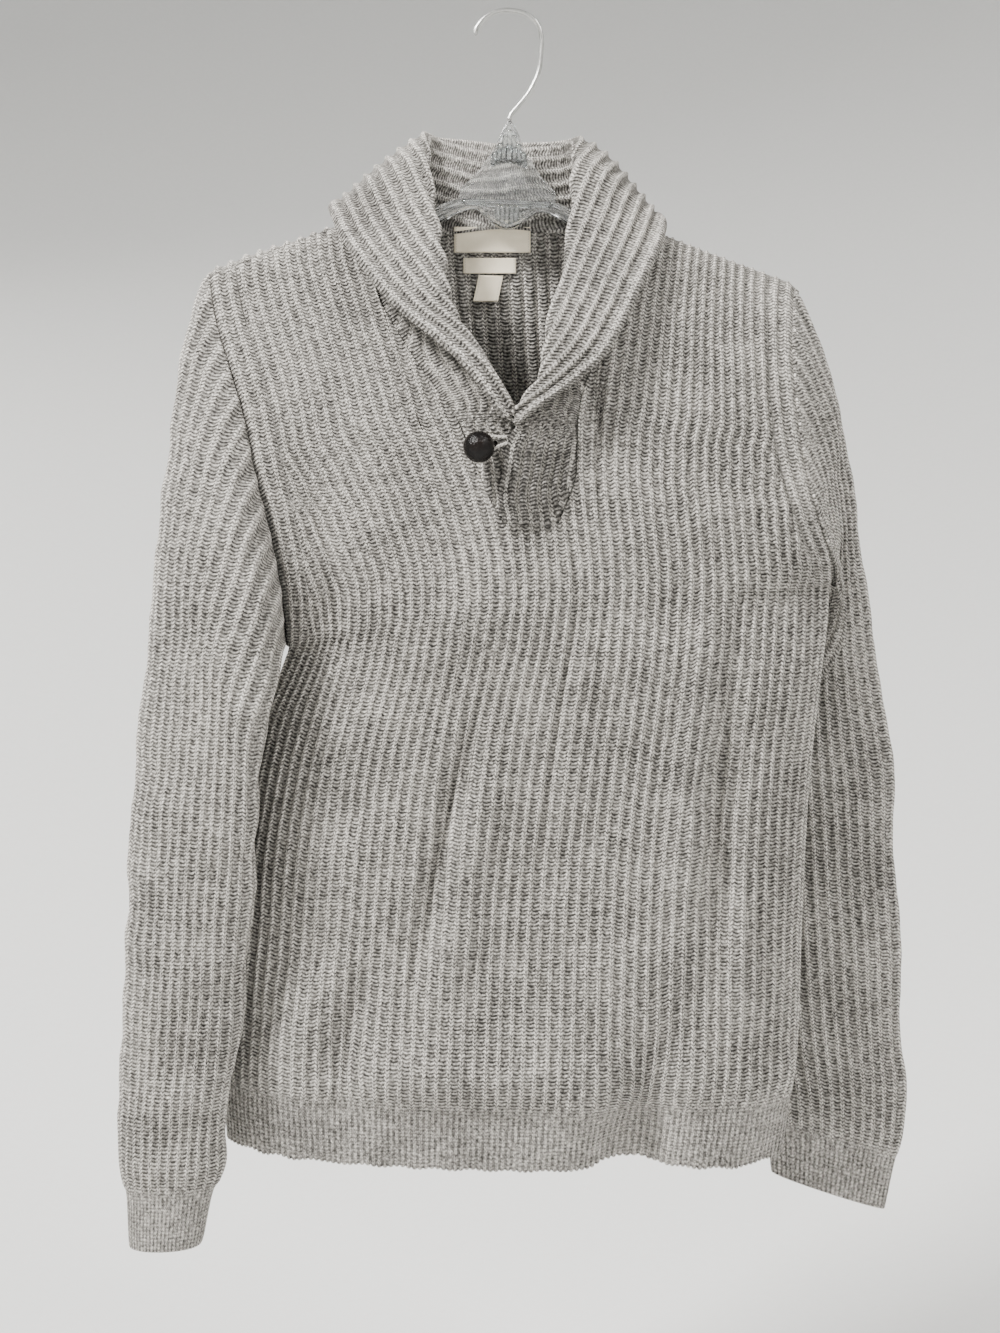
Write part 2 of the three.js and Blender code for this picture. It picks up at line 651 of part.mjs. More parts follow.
// The loop leaves the band, passes round the shank and comes back beside itself.
function loopCurve() {
  const along = LOOP_END.clone().sub(LOOP_ANCHOR);
  const beside = new THREE.Vector3(0, 0, 1);
  const place = (share, offset) =>
    LOOP_ANCHOR.clone().addScaledVector(along, share).addScaledVector(beside, offset * LOOP_HALF_WIDTH);
  return new THREE.CatmullRomCurve3([
    place(0, 0.35),
    place(0.35, 0.75),
    place(0.72, 1.2),
    place(0.92, 0.7),
    place(1, 0),
    place(0.92, -0.7),
    place(0.72, -1.2),
    place(0.35, -0.9),
    place(0, -0.75),
  ]);
}

// The hook: an arc over the rod, then an S down into the crown.
function hookCurve() {
  const route = [
    [-24, -16],
    [-22.5, -10],
    [-16.5, -3],
    [-8, 1],
    [1, 1.6],
    [12, -1],
    [20, -8],
    [23, -18],
    [22.7, -28],
    [21, -41],
    [15, -54],
    [7.5, -63.5],
    [2, -70],
    [0, -74.2],
  ];
  return new THREE.CatmullRomCurve3(route.map(([x, z]) => new THREE.Vector3(x, 0, z)));
}

// The plastic body: a bar whose top and bottom lines come from the arm's table, the same to
// both sides, with a rounded rectangle for its section.
function hangerGeometry() {
  const reach = HANGER_ARM[HANGER_ARM.length - 1][0];
  const steps = 22;
  const sides = 12;
  const corner = 0.6; // below 1 squares the section off
  const grid = [];
  for (let i = -steps; i <= steps; i += 1) {
    const out = reach * Math.sign(i) * (Math.abs(i) / steps) ** 1.25;
    const [, top, bottom] = rowAt(HANGER_ARM, Math.abs(out));
    const middle = (top + bottom) / 2;
    const half = (top - bottom) / 2;
    const ring = [];
    for (let k = 0; k < sides; k += 1) {
      const angle = (2 * Math.PI * (k + 0.5)) / sides;
      const up = Math.sign(Math.sin(angle)) * Math.abs(Math.sin(angle)) ** corner;
      const side = Math.sign(Math.cos(angle)) * Math.abs(Math.cos(angle)) ** corner;
      ring.push(new THREE.Vector3(out, ARM_HALF_THICK * side, middle + half * up));
    }
    grid.push(ring);
  }
  const vertices = grid.flat();
  const faces = [];
  for (let i = 0; i < grid.length - 1; i += 1) {
    for (let k = 0; k < sides; k += 1) {
      const next = (k + 1) % sides;
      const [a, b] = [i * sides + k, (i + 1) * sides + k];
      const [c, d] = [(i + 1) * sides + next, i * sides + next];
      faces.push(a, b, c, a, c, d);
    }
  }
  const centre = (ring) => ring.reduce((sum, v) => sum.add(v), new THREE.Vector3()).divideScalar(sides);
  const firstCentre = vertices.push(centre(grid[0])) - 1;
  const lastCentre = vertices.push(centre(grid[grid.length - 1])) - 1;
  const lastRing = (grid.length - 1) * sides;
  for (let k = 0; k < sides; k += 1) {
    const next = (k + 1) % sides;
    faces.push(k, next, firstCentre, lastRing + next, lastRing + k, lastCentre);
  }
  const geometry = solid(vertices, faces);
  geometry.translate(0, 0, -HANGER_PIVOT_Z);
  geometry.rotateY(HANGER_TILT);
  geometry.translate(0, 0, HANGER_PIVOT_Z);
  geometry.rotateZ(HANGER_TURN);
  return geometry;
}

// ---- materials and the group ----
const material = (color, roughness, metalness = 0) =>
  new THREE.MeshStandardMaterial({ color, roughness, metalness });
const knit = material("#a9a59e", 0.95);
const leather = material("#241c19", 0.45);
const satin = material("#e9e1d2", 0.6);
const plastic = material("#dfe3e4", 0.08);
const steel = material("#b9b9b6", 0.25, 1);

const part = new THREE.Group();
function add(name, geometry, finish) {
  const mesh = new THREE.Mesh(geometry, finish);
  mesh.name = name;
  part.add(mesh);
}

add("front", shell(panelGrid(-1), KNIT_WALL), knit);
add("back", shell(panelGrid(1), KNIT_WALL), knit);
add("sleeve_left", shell(sleeveGrid(ARMHOLE_LEFT, SLEEVE_LEFT), KNIT_WALL, true), knit);
add("sleeve_right", shell(sleeveGrid(ARMHOLE_RIGHT, SLEEVE_RIGHT), KNIT_WALL, true), knit);
add("collar", shell(collarGrid(), KNIT_WALL), knit);
Object.entries(LABELS).forEach(([name, label]) => add(name, shell(labelGrid(label), LABEL_THICK), satin));
add("button", buttonGeometry(), leather);
add("button_loop", tube(loopCurve(), LOOP_YARN, 36, 8), knit);
add("hanger", hangerGeometry(), plastic);
add("hanger_hook", tube(hookCurve(), HOOK_WIRE, 48, 10), steel);

export default part;
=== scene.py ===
import math

import bpy
import numpy as np
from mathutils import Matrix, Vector


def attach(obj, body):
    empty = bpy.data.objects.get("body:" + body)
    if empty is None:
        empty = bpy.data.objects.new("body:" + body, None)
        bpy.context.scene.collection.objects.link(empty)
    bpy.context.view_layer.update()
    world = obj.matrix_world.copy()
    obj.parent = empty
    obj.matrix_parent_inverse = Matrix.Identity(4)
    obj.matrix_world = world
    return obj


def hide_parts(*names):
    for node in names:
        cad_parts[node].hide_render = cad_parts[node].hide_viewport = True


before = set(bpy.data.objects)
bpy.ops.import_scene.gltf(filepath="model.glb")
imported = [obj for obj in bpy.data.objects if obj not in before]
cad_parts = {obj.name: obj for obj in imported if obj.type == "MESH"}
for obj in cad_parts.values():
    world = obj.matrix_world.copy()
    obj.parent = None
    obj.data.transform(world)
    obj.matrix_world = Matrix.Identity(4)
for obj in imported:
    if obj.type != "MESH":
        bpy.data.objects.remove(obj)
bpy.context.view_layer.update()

MM = 0.001

# ---- sizes, in millimetres ----
WALL = 1.9  # thickness of the knitted cloth between a ridge and the valley behind it
RIB_DEPTH = 1.35  # how far a rib's ridge and valley stand off the cloth's middle
WELT_DEPTH = 0.55  # the same in the fine rib of the hem and the cuffs
HEM_WELT = 46
CUFF_WELT = 42
COURSE = 2.65  # height of one row of stitches
BODY_RIBS = 53  # ribs across one body panel below the arms
EDGE_RIBS = 2  # ribs that run along an armhole outside the shaping
SLEEVE_RIBS = 28
RIB_SAMPLES = 6  # columns of points for one rib
PANEL_WIDTH = 420  # about the length of a panel's row
SLEEVE_DROP, BODY_DROP, YOKE_DROP = 640, 700, 300  # down a sleeve, a panel, and to the underarm

# ---- the sweater's form: the same tables as the plain model ----

# turn, x, y, z round an armhole: 0 is the end of the shoulder seam, 0.5 the underarm.
ARMHOLE_LEFT = np.array([
    [0.0, -211, -13, -187], [0.05, -206, -20, -215], [0.119, -195, -28, -250],
    [0.185, -184, -34, -284], [0.26, -175, -38, -324], [0.34, -164, -37, -367],
    [0.42, -157, -30, -410], [0.5, -158, -8, -448], [0.56, -166, 14, -425],
    [0.656, -180, 25, -370], [0.75, -192, 26, -315], [0.84, -200, 22, -262],
    [0.92, -208, 13, -215], [0.9765, -212, 0, -181],
])
ARMHOLE_RIGHT = np.array([
    [0.0, 204, 4, -190], [0.042, 201, -10, -204], [0.124, 198, -26, -240],
    [0.209, 200, -33, -280], [0.298, 206, -35, -322], [0.377, 217, -31, -358],
    [0.45, 229, -18, -388], [0.5, 231, 0, -404], [0.561, 222, 17, -385],
    [0.665, 210, 27, -340], [0.774, 203, 28, -290], [0.873, 201, 24, -245],
    [0.95, 203, 14, -208],
])
# level, x, y, z down a side seam, from the underarm (1) to the hem (2).
SIDE_LEFT = np.array([
    [1.0, -158, -8, -448], [1.06, -165, -2, -470], [1.15, -178, 4, -503], [1.35, -191, 5, -574],
    [1.6, -202, 3, -664], [1.8, -207, 2, -736], [2.0, -206, 2, -808],
])
SIDE_RIGHT = np.array([
    [1.0, 231, 0, -404], [1.06, 228, -1, -429], [1.15, 223, -2, -466], [1.35, 215, 0, -549],
    [1.6, 211, 1, -653], [1.8, 209, 2, -736], [2.0, 200, 3, -819],
])
# level, depth y, rise left, rise right, flat, round of each row of a panel.
FRONT = np.array([
    [0.0, 0, 91, 71, 2, 1], [0.04, -9, 92, 76, 2, 1], [0.1, -15, 94, 72, 2, 1],
    [0.2, -21, 90, 70, 2.2, 1], [0.35, -33, 74, 60, 2.5, 1], [0.55, -43, 50, 42, 3, 1],
    [0.8, -48, 22, 18, 3, 1], [1.0, -49, 8, 6, 3, 1.15], [1.1, -48, 3, 2, 3.2, 1.6],
    [1.3, -47, 0, 0, 3.4, 1.9], [1.6, -47, 0, 0, 3.4, 1.9], [1.85, -50, 0, 0, 3.4, 1.9],
    [2.0, -45, -8, -2, 3.4, 1.9],
])
BACK = np.array([
    [0.0, 0, 91, 71, 2, 1], [0.04, 6, 83, 71, 2, 1], [0.1, 12, 91, 79, 2, 1],
    [0.2, 17, 94, 76, 2.2, 1], [0.35, 22, 84, 68, 2.5, 1], [0.55, 26, 58, 48, 3, 1],
    [0.8, 29, 26, 22, 3, 1], [1.0, 30, 8, 6, 3, 1.15], [1.1, 30, 3, 2, 3.2, 1.6],
    [1.3, 30, 0, 0, 3.2, 1.9], [1.6, 30, 0, 0, 3.2, 1.9], [1.85, 31, 0, 0, 3.2, 1.9],
    [2.0, 28, -6, -4, 3.2, 1.9],
])
# across, from level, to level, half width, push (inwards above 0), slant of each crease.
FRONT_CREASES = [
    [0.405, 1.05, 1.78, 0.022, 5, -0.1], [0.45, 1.1, 1.85, 0.03, -3, -0.09],
    [0.79, 0.95, 1.75, 0.024, 5, 0.05], [0.74, 0.9, 1.8, 0.03, -3.5, 0.03],
    [0.86, 1.35, 1.8, 0.03, -3, -0.02], [0.63, 0.38, 0.72, 0.022, 4, -0.03],
    [0.16, 1.55, 2.0, 0.05, -5, 0.02], [0.27, 1.55, 1.95, 0.03, 5, -0.12],
    [0.71, 1.7, 2.35, 0.05, 17, -0.02], [0.87, 1.75, 2.35, 0.05, -4, 0],
    [0.52, 0.62, 1.75, 0.012, 1.2, 0.02], [0.07, 0.35, 1.05, 0.03, 3, 0.05],
]
BACK_CREASES = [
    [0.3, 0.5, 1.5, 0.03, 5, 0.06], [0.36, 0.6, 1.7, 0.035, -3, 0.05],
    [0.62, 0.9, 1.8, 0.025, 5, -0.06], [0.7, 0.8, 1.7, 0.035, -3, -0.03],
    [0.5, 1.5, 2.2, 0.06, 8, 0.03], [0.2, 1.5, 2.0, 0.04, -4, 0.02],
    [0.82, 1.3, 1.9, 0.03, 4, 0.02],
]
# station, across, level, roll x, y, z, edge x, y, z, spread, lift of the collar strip.
COLLAR = np.array([
    [0.0, 0.411, 0.771, 6, -46.5, -358.5, 20, -46.5, -358.5, 0.33, 1.3],
    [0.8, 0.39, 0.7, -3, -49, -338, 17, -48, -338, 0.33, 1.3],
    [1.6, 0.383, 0.633, -7, -50.5, -316, 14, -49.5, -316, 0.33, 1.3],
    [2.4, 0.38, 0.575, -11, -52, -298, 6, -52, -298, 0.34, 1.3],
    [3.0, 0.366, 0.53, -2, -54, -284, -7, -60, -287, 0.6, 1.3],
    [4.0, 0.341, 0.465, -15, -53, -253, -28, -59, -258, 0.8, 0.8],
    [5.0, 0.313, 0.39, -31, -46, -231, -51, -57, -236, 1.0, 1.0],
    [6.0, 0.288, 0.305, -40, -38, -207, -75, -50, -216, 1.1, 1.3],
    [7.0, 0.27, 0.22, -45, -28, -181, -92, -42, -198, 1.2, 1.6],
    [8.0, 0.262, 0.105, -52, -15, -145, -116, -25, -164, 1.35, 1.8],
    [9.0, 0.258, 0.0, -57.5, 2, -104.5, -128, -5, -138, 1.5, 1.8],
    [10.0, 0.275, -0.06, -61, 22, -80, -125, 26, -138, 1.48, 1.8],
    [11.0, 0.34, -0.13, -49, 34, -82, -95, 52, -149, 1.35, 1.8],
    [12.0, 0.43, -0.17, -18, 38, -84, -38, 63, -153, 1.3, 1.8],
    [13.0, 0.53, -0.17, 14, 38, -84, 34, 63, -154, 1.3, 1.8],
    [14.0, 0.62, -0.13, 41, 34, -83, 80, 52, -152, 1.35, 1.8],
    [15.0, 0.68, -0.06, 52.5, 22, -83, 108, 27, -147, 1.55, 1.8],
    [16.0, 0.7, 0.0, 50.5, 2, -107, 112, -4, -148, 1.55, 1.8],
    [17.0, 0.695, 0.12, 46.5, -15, -146, 105, -24, -170, 1.35, 1.8],
    [18.0, 0.68, 0.23, 39, -28, -181, 91, -42, -199, 1.2, 1.6],
    [19.0, 0.655, 0.345, 32, -38, -208, 80, -52, -222, 1.1, 1.3],
    [20.0, 0.628, 0.435, 26, -47, -235, 66, -60, -246, 1.0, 1.0],
    [21.0, 0.6, 0.51, 20, -55, -262, 44, -64, -266, 0.8, 0.8],
    [22.0, 0.585, 0.565, 7, -60, -286, 14, -65, -287, 0.6, 0.9],
    [22.7, 0.578, 0.6, 22, -60, -305, 0, -61, -303, 0.35, 1.3],
    [23.4, 0.571, 0.64, 21, -57, -322, -4, -58.5, -322, 0.33, 1.3],
    [24.2, 0.555, 0.7, 19, -56, -341, -7, -57, -343, 0.33, 1.3],
    [25.0, 0.509, 0.785, 14, -53, -358.5, -4, -54, -358.5, 0.33, 1.3],
])
LEFT_SHOULDER, RIGHT_SHOULDER = 9.0, 16.0
# at, outer x, y, z, inner x, y, z, half thickness of a sleeve's sections.
SLEEVE_LEFT = np.array([
    [0.0, -212, -5, -187, -158, -10, -448, 31], [0.05, -225, -6, -216, -160, -34, -462, 33],
    [0.1, -234, -9, -258, -163, -48, -482, 33], [0.2, -240, -15, -326, -175, -54, -527, 31],
    [0.3, -247, -21, -395, -177, -55, -572, 29], [0.4, -255, -28, -463, -180, -53, -618, 27],
    [0.5, -262, -33, -532, -185, -50, -660, 26], [0.6, -265, -36, -601, -189, -47, -702, 25],
    [0.7, -268, -38, -669, -195, -44, -745, 24], [0.8, -273, -39, -738, -202, -42, -787, 23],
    [0.86, -275, -39, -779, -205, -41, -812, 22], [0.92, -272, -39, -820, -212, -40, -838, 20],
    [1.0, -270, -41, -871, -218, -43, -869, 19],
])
SLEEVE_RIGHT = np.array([
    [0.0, 205, 4, -190, 231, 0, -404, 25], [0.05, 221, 10, -222, 240, 14, -424, 25],
    [0.1, 234, 18, -259, 242, 28, -449, 23], [0.15, 242, 23, -293, 234, 38, -472, 21],
    [0.2, 249, 28, -327, 216, 46, -494, 19], [0.3, 262, 35, -396, 188, 50, -539, 16],
    [0.4, 274, 39, -464, 178, 49, -584, 14], [0.5, 285, 41, -533, 176, 49, -629, 13],
    [0.6, 290, 42, -602, 178, 48, -674, 12], [0.7, 293, 42, -670, 182, 47, -719, 12],
    [0.8, 297, 42, -739, 188, 45, -764, 11], [0.86, 298, 42, -780, 194, 44, -791, 11],
    [0.92, 295, 41, -821, 197, 43, -818, 10], [1.0, 285, 40, -876, 199, 41, -848, 10],
])
SHOULDER_START, SLEEVE_START, SLEEVE_EASE = 0.0012, 0.002, 2.6
TENT_SOFTNESS, CREASE_FADE, SQUARENESS, ARMHOLE_REACH = 0.12, 0.04, 0.8, 0.22

# ---- the knitting, in millimetres unless a share is meant ----
EDGE_GAP = 0.15 / PANEL_WIDTH  # share of a panel's row left free at each side seam
SHAPING_LEVELS = (0.9, 0.79, 0.71, 0.6, 0.5)  # where each rib lost to the armhole ends
SHAPING_REACH = 0.09  # how far below that level a rib starts to narrow
FAN_FOOT = 0.8  # the ribs beside the neck slot start to fan out above this level
FAN_LEFT, FAN_RIGHT = 0.06, 0.105  # how far they do, as a share of the row
RIB_WANDER = 0.0022  # how far a rib strays sideways, as a share of the row
SMOOTHED_ROWS = 9  # rows of points over which the ribs' run past the underarm is evened out
PANEL_ROWS, SLEEVE_LINES = 108, 104
LAST_ROW = 1.2  # how near its free edge the cloth has its last row of points but one
# shares of a surface's parameters stepped over to find which way it faces
PANEL_STEPS, SLEEVE_STEPS, COLLAR_STEPS = (0.004, 0.004), (0.004, 0.003), (0.03, 0.01)
COLLAR_LINES, COLLAR_COLUMNS = 232, 133
COLLAR_PITCH = np.array([
    [0, 7.6], [2.4, 7.6], [3.5, 8.3], [5, 9.3], [8, 10.2], [12.5, 10.5],
    [17, 10.2], [20, 9.3], [22, 8.2], [22.7, 7.6], [25, 7.6],
])
RIB_SHARPNESS = 2.1  # above 1 a rib has a narrow ridge and a wide valley
EDGE_ROLL = 1.05  # width of the rolled free edge of the collar, in ribs
EDGE_RISE, EDGE_PLUMP = 1.5, 0.9  # how high the rolled edge stands, and how much thicker it is
COLLAR_RIB_DEPTH, COLLAR_DRAPE = 1.4, 1.2
BAND_DEEPER, BAND_HOLLOW_SHADE = 0.5, 1.6  # shares added to a band's rib depth and to the painted shade in its hollows
FOOT_BACK, FOOT_LAP = 1.2, 2.6  # the bands' ends lie back on the front and lap over its edge
SEAM_SINK = 0.9  # how far the cloth dips into an armhole seam
SEAM_TURNING = 4.5  # how far a panel's edge goes on behind the sleeve or collar sewn to it
TURNING_DEPTH = 2.7  # and how far behind it lies
COLLAR_TURNING = 3.2  # the same for the collar's raw edge, past the neck seam
WELT_DRAW, CUFF_DRAW, WELT_PUFF = 2.0, 1.0, 3.6  # the welts draw in, the cloth above puffs out
HEM_PUFF, CUFF_PUFF = (22, 18), (16, 14)  # how far above the welt it does so most, over how far
WELT_SETTLE = 7  # length over which the wide ribs turn into the welt's
CREASING = 2.0  # how much deeper the creases are than in the plain model
DRAPE = 2.8  # height of the soft unevenness of hanging cloth
RIPPLE_PEAK = 2.8  # the most that the four sines of a ripple add up to
HEM_WAVE = 2.2  # how far the hem's lower edge waves up and down
GATHER = 0.7  # height of the small gathers along an armhole seam
GATHER_RIBS, GATHER_PLACE = 2.6, (14, 12)  # ribs in one gather; how far from the seam, over how far
SLEEVE_RIB_SHARE = 0.95

# ---- labels, button, loop, hook and hanger, as in the plain model ----
LABEL_LIFT, LABEL_THICK = 2.9, 0.5
# name: width, height, centre x, top z, shear, curl
LABELS = {
    "main": (55, 18, -12, -147, 0, 1.5),
    "small": (38, 11, -14, -168.5, 0, 0.8),
    "care": (18, 19, -13, -180.5, -4, 3),
}
BUTTON_RADIUS, SHANK_RADIUS, BUTTON_SIDES = 10.8, 2.0, 144
PLEATS, PLEAT_DEPTH, OUT_OF_ROUND = 13, 0.035, 0.008  # the last two as shares of the radius
BUTTON_CENTRE = np.array([-20.8, -67.5, -309.2])
SHANK_FOOT = np.array([-9.5, -54.2, -306.0])
LOOP_END = np.array([-15.4, -55.0, -306.8])
LOOP_ANCHOR = np.array([-1.7, -63.2, -303.5])
LOOP_HALF_WIDTH, LOOP_STRAND, LOOP_TWIST = 3.6, 0.62, 6.5
# along the loop, and beside its middle
LOOP_ROUTE = [
    [0, 0.35], [0.35, 0.75], [0.72, 1.2], [0.92, 0.7], [1, 0], [0.92, -0.7], [0.72, -1.2],
    [0.35, -0.9], [0, -0.75],
]
HOOK_WIRE = 1.6
HOOK_ROUTE = [
    [-24, -16], [-22.5, -10], [-16.5, -3], [-8, 1], [1, 1.6], [12, -1], [20, -8], [23, -18],
    [22.7, -28], [21, -41], [15, -54], [7.5, -63.5], [2, -70], [0, -74.2],
]
HANGER_TILT, HANGER_TURN, HANGER_PIVOT_Z, ARM_HALF_THICK = 2, 0.9, -97, 4
# out, top, bottom, rim and share of the full thickness of the hanger's arms before they tilt,
# then of its crown and of the thin clear plate that joins the crown to the arms
HANGER_ARMS = np.array([
    [0, -131, -151, 3.4, 1], [5, -131, -150, 3.4, 1], [13, -131, -145, 3, 0.9],
    [22, -131, -138, 1.8, 0.5], [35, -131.5, -141, 2.2, 0.6], [60, -141, -156, 3.4, 1],
    [100, -154, -171, 3.4, 1], [150, -169.5, -187, 3.3, 1], [190, -184.5, -201.5, 3.2, 1],
    [196, -187, -203, 3.2, 0.7],
], dtype=float)
HANGER_CROWN = np.array([
    [0, -74.5, -104, 3, 0.85], [5, -82, -104, 3, 0.85], [10, -94, -104, 2.4, 0.8],
    [12.5, -99, -104, 1.4, 0.6],
], dtype=float)
HANGER_PLATE = np.array([
    [0, -92, -134, 0.4, 0.07], [13, -99, -134, 0.4, 0.07], [22, -112, -134, 0.4, 0.07],
    [34, -124, -134, 0.4, 0.07],
], dtype=float)
# round an arm's section: side, upper rim (1) or lower (0), and how far in, in rim thicknesses
HANGER_SECTION = np.array([
    [1, 1, 0.3], [0.8, 1, 0], [-0.8, 1, 0], [-1, 1, 0.3], [-1, 1, 0.85], [-0.45, 1, 1],
    [-0.24, 1, 1.4], [-0.24, 0, 1.4], [-0.45, 0, 1], [-1, 0, 0.85], [-1, 0, 0.3], [-0.8, 0, 0],
    [0.8, 0, 0], [1, 0, 0.3], [1, 0, 0.85], [0.45, 0, 1], [0.24, 0, 1.4], [0.24, 1, 1.4],
    [0.45, 1, 1], [1, 1, 0.85],
])
RIB_RADIUS, RIB_STANDS = 2.0, 1.5  # of the hanger's moulded ribs, and their lines off its middle
CREASE_ANGLE = 38  # edges of the moulding sharper than this shade as corners, in degrees
# from (x, z) to (x, z) of each half-round rib on the hanger's faces
HANGER_RIBS = [
    [(0, -81), (0, -104)], [(-3, -85), (-4, -105)], [(3, -85), (4, -105)], [(-6, -91), (-8, -106)],
    [(6, -91), (8, -106)], [(-9, -97), (-12, -107)], [(9, -97), (12, -107)],
    [(-33, -133), (33, -133)], [(-7, -134), (-6, -146)], [(-3.5, -134), (-3, -148)],
    [(0, -134), (0, -149)], [(3.5, -134), (3, -148)], [(7, -134), (6, -146)],
]

# ---- finishes and light ----
# the ends of the knit's colour: the tone between them holds the yarn's own greys and painted shade
# in the hollows
YARN_DARK, YARN_LIGHT = "#1C1A19", "#E9E4DC"
RIDGE_BLUR, LEG_SPLIT = 0.1, 0.045  # softness of a ridge's flank and of the line down it, in ribs
STITCH_STRAY = (0.10, 0.55, 0)  # how far a stitch sits off its place, in ribs and rows
# the labels' threads are drawn coarser than real ones, so that they show; in millimetres
WARP_SPACING, WEFT_SPACING = 0.35, 0.5
HEM_LINE, SEWING_THREAD, SEWING_STITCH = 1.6, 0.35, 1.8  # line from the end, thread, one stitch
LAMP_COLOUR, ROOM_COLOUR, ROOM_STRENGTH = (1.0, 0.985, 0.965), "#F4F6F8", 0.2
# name, place, what it is aimed at, size, power and spread of each soft light, in metres,
# watts and degrees
LIGHTS = [
    ("ceiling_left", (-1.3, -0.95, 1.3), (0, 0, -0.5), 0.45, 58, 120),
    ("ceiling_right", (1.3, -1.0, 1.35), (0, 0, -0.45), 0.5, 16, 120),
    ("window", (0.3, -2.5, 0.1), (0, 0, -0.45), 1.4, 9, 180),
    ("back_left", (-1.5, 1.5, 1.3), (0, 0, -0.45), 0.6, 40, 150),
    ("back_right", (2.0, 1.8, 0.4), (0, 0, -0.45), 1.5, 10, 180),
    ("sky", (0, 0.6, 4.5), (0, 0.6, 0), 4.5, 56, 180),
]
# the backdrop's bowl, in metres: its radius, the flat part's, its floor and how it curls up
BOWL_RADIUS, BOWL_FLAT, BOWL_FLOOR, BOWL_CURL = 4.8, 0.5, -1.15, 0.3
BOWL_RINGS, BOWL_SIDES = 49, 96


# ---- helpers for tables, lines and grids ----
def smooth(t):
    """3t squared less 2t cubed, with t held between 0 and 1."""
    t = np.clip(t, 0, 1)
    return t * t * (3 - 2 * t)


def unit(v):
    """Vectors scaled to length 1."""
    return v / np.maximum(np.linalg.norm(v, axis=-1, keepdims=True), 1e-12)


def rows_at(table, x):
    """A table's rows at the places x: a cubic through the rows, its slope at each row the one
    between that row's neighbours."""
    x = np.asarray(x, float)
    last = len(table) - 1
    i = np.clip(np.searchsorted(table[:, 0], x, side="left") - 1, 0, last - 1)
    start, end = table[i], table[i + 1]
    before, after = table[np.maximum(i - 1, 0)], table[np.minimum(i + 2, last)]
    span = (end - start)[..., :1]
    t = np.clip((x - start[..., 0]) / span[..., 0], 0, 1)[..., None]
    slope_start = (end - before) / (end - before)[..., :1] * span
    slope_end = (after - start) / (after - start)[..., :1] * span
    rise = end - start
    curve = 3 * rise - 2 * slope_start - slope_end + t * (slope_start + slope_end - 2 * rise)
    return start + t * (slope_start + t * curve)


def ring_at(table, turn):
    """The same round a closed ring, whose first column runs from 0 to 1."""
    closed = np.vstack([table[-1], table, table[0], table[1]])
    closed[0, 0] -= 1
    closed[-2, 0] = 1
    closed[-1, 0] += 1
    return rows_at(closed, np.mod(turn, 1))[..., 1:4]


def reach_of(lines):
    """The running length at each point of many polylines, given as (line, point, xyz)."""
    step = np.linalg.norm(np.diff(lines, axis=1), axis=2)
    return np.concatenate([np.zeros((len(lines), 1)), np.cumsum(step, axis=1)], axis=1)


def walk(values, reach, line, target):
    """Values carried by many polylines, read at running lengths: one search serves all the
    lines, because each line's lengths are first moved past those of the line before it."""
    count = reach.shape[1]
    apart = reach.max() + 1
    flat = (reach + np.arange(len(reach))[:, None] * apart).ravel()
    place = target + line * apart
    k = np.searchsorted(flat, place, side="left")
    k = np.clip(k, line * count + 1, line * count + count - 1)
    part = np.clip((place - flat[k - 1]) / np.maximum(flat[k] - flat[k - 1], 1e-12), 0, 1)
    values = values.reshape(len(flat), -1)
    return values[k - 1] * (1 - part)[..., None] + values[k] * part[..., None]


def spaced(count, places, steps):
    """Places from 0 to 1 whose spacing follows a table of steps, closer where they are small."""
    running = np.cumsum(np.interp(np.linspace(0, 1, count), places, steps))
    return np.concatenate([[0], running / running[-1]])


def ripple(p, size, seed):
    """Soft, uneven waves between -1 and 1: four crossed sines over a place, in millimetres,
    with their directions and phases from the seed."""
    random = np.random.default_rng(seed)
    total = np.zeros(p.shape[:-1])
    for share in (1.0, 1.3, 1.7, 2.3):
        direction = unit(random.normal(size=3)) * 2 * np.pi / size * share
        total += np.sin(p @ direction + random.uniform(0, 2 * np.pi)) / share
    return total / RIPPLE_PEAK


# ---- the sweater's middle surfaces ----
def panel_edge(armhole, side, facing, level):
    """A panel's edge at a level: its armhole from 0 to 1, then its side seam from 1 to 2."""
    turn = np.clip(level, 0, 1) / 2
    above = ring_at(armhole, turn if facing < 0 else 1 - turn)
    below = rows_at(side, np.maximum(level, 1))[..., 1:4]
    return np.where((level >= 1)[..., None], below, above)


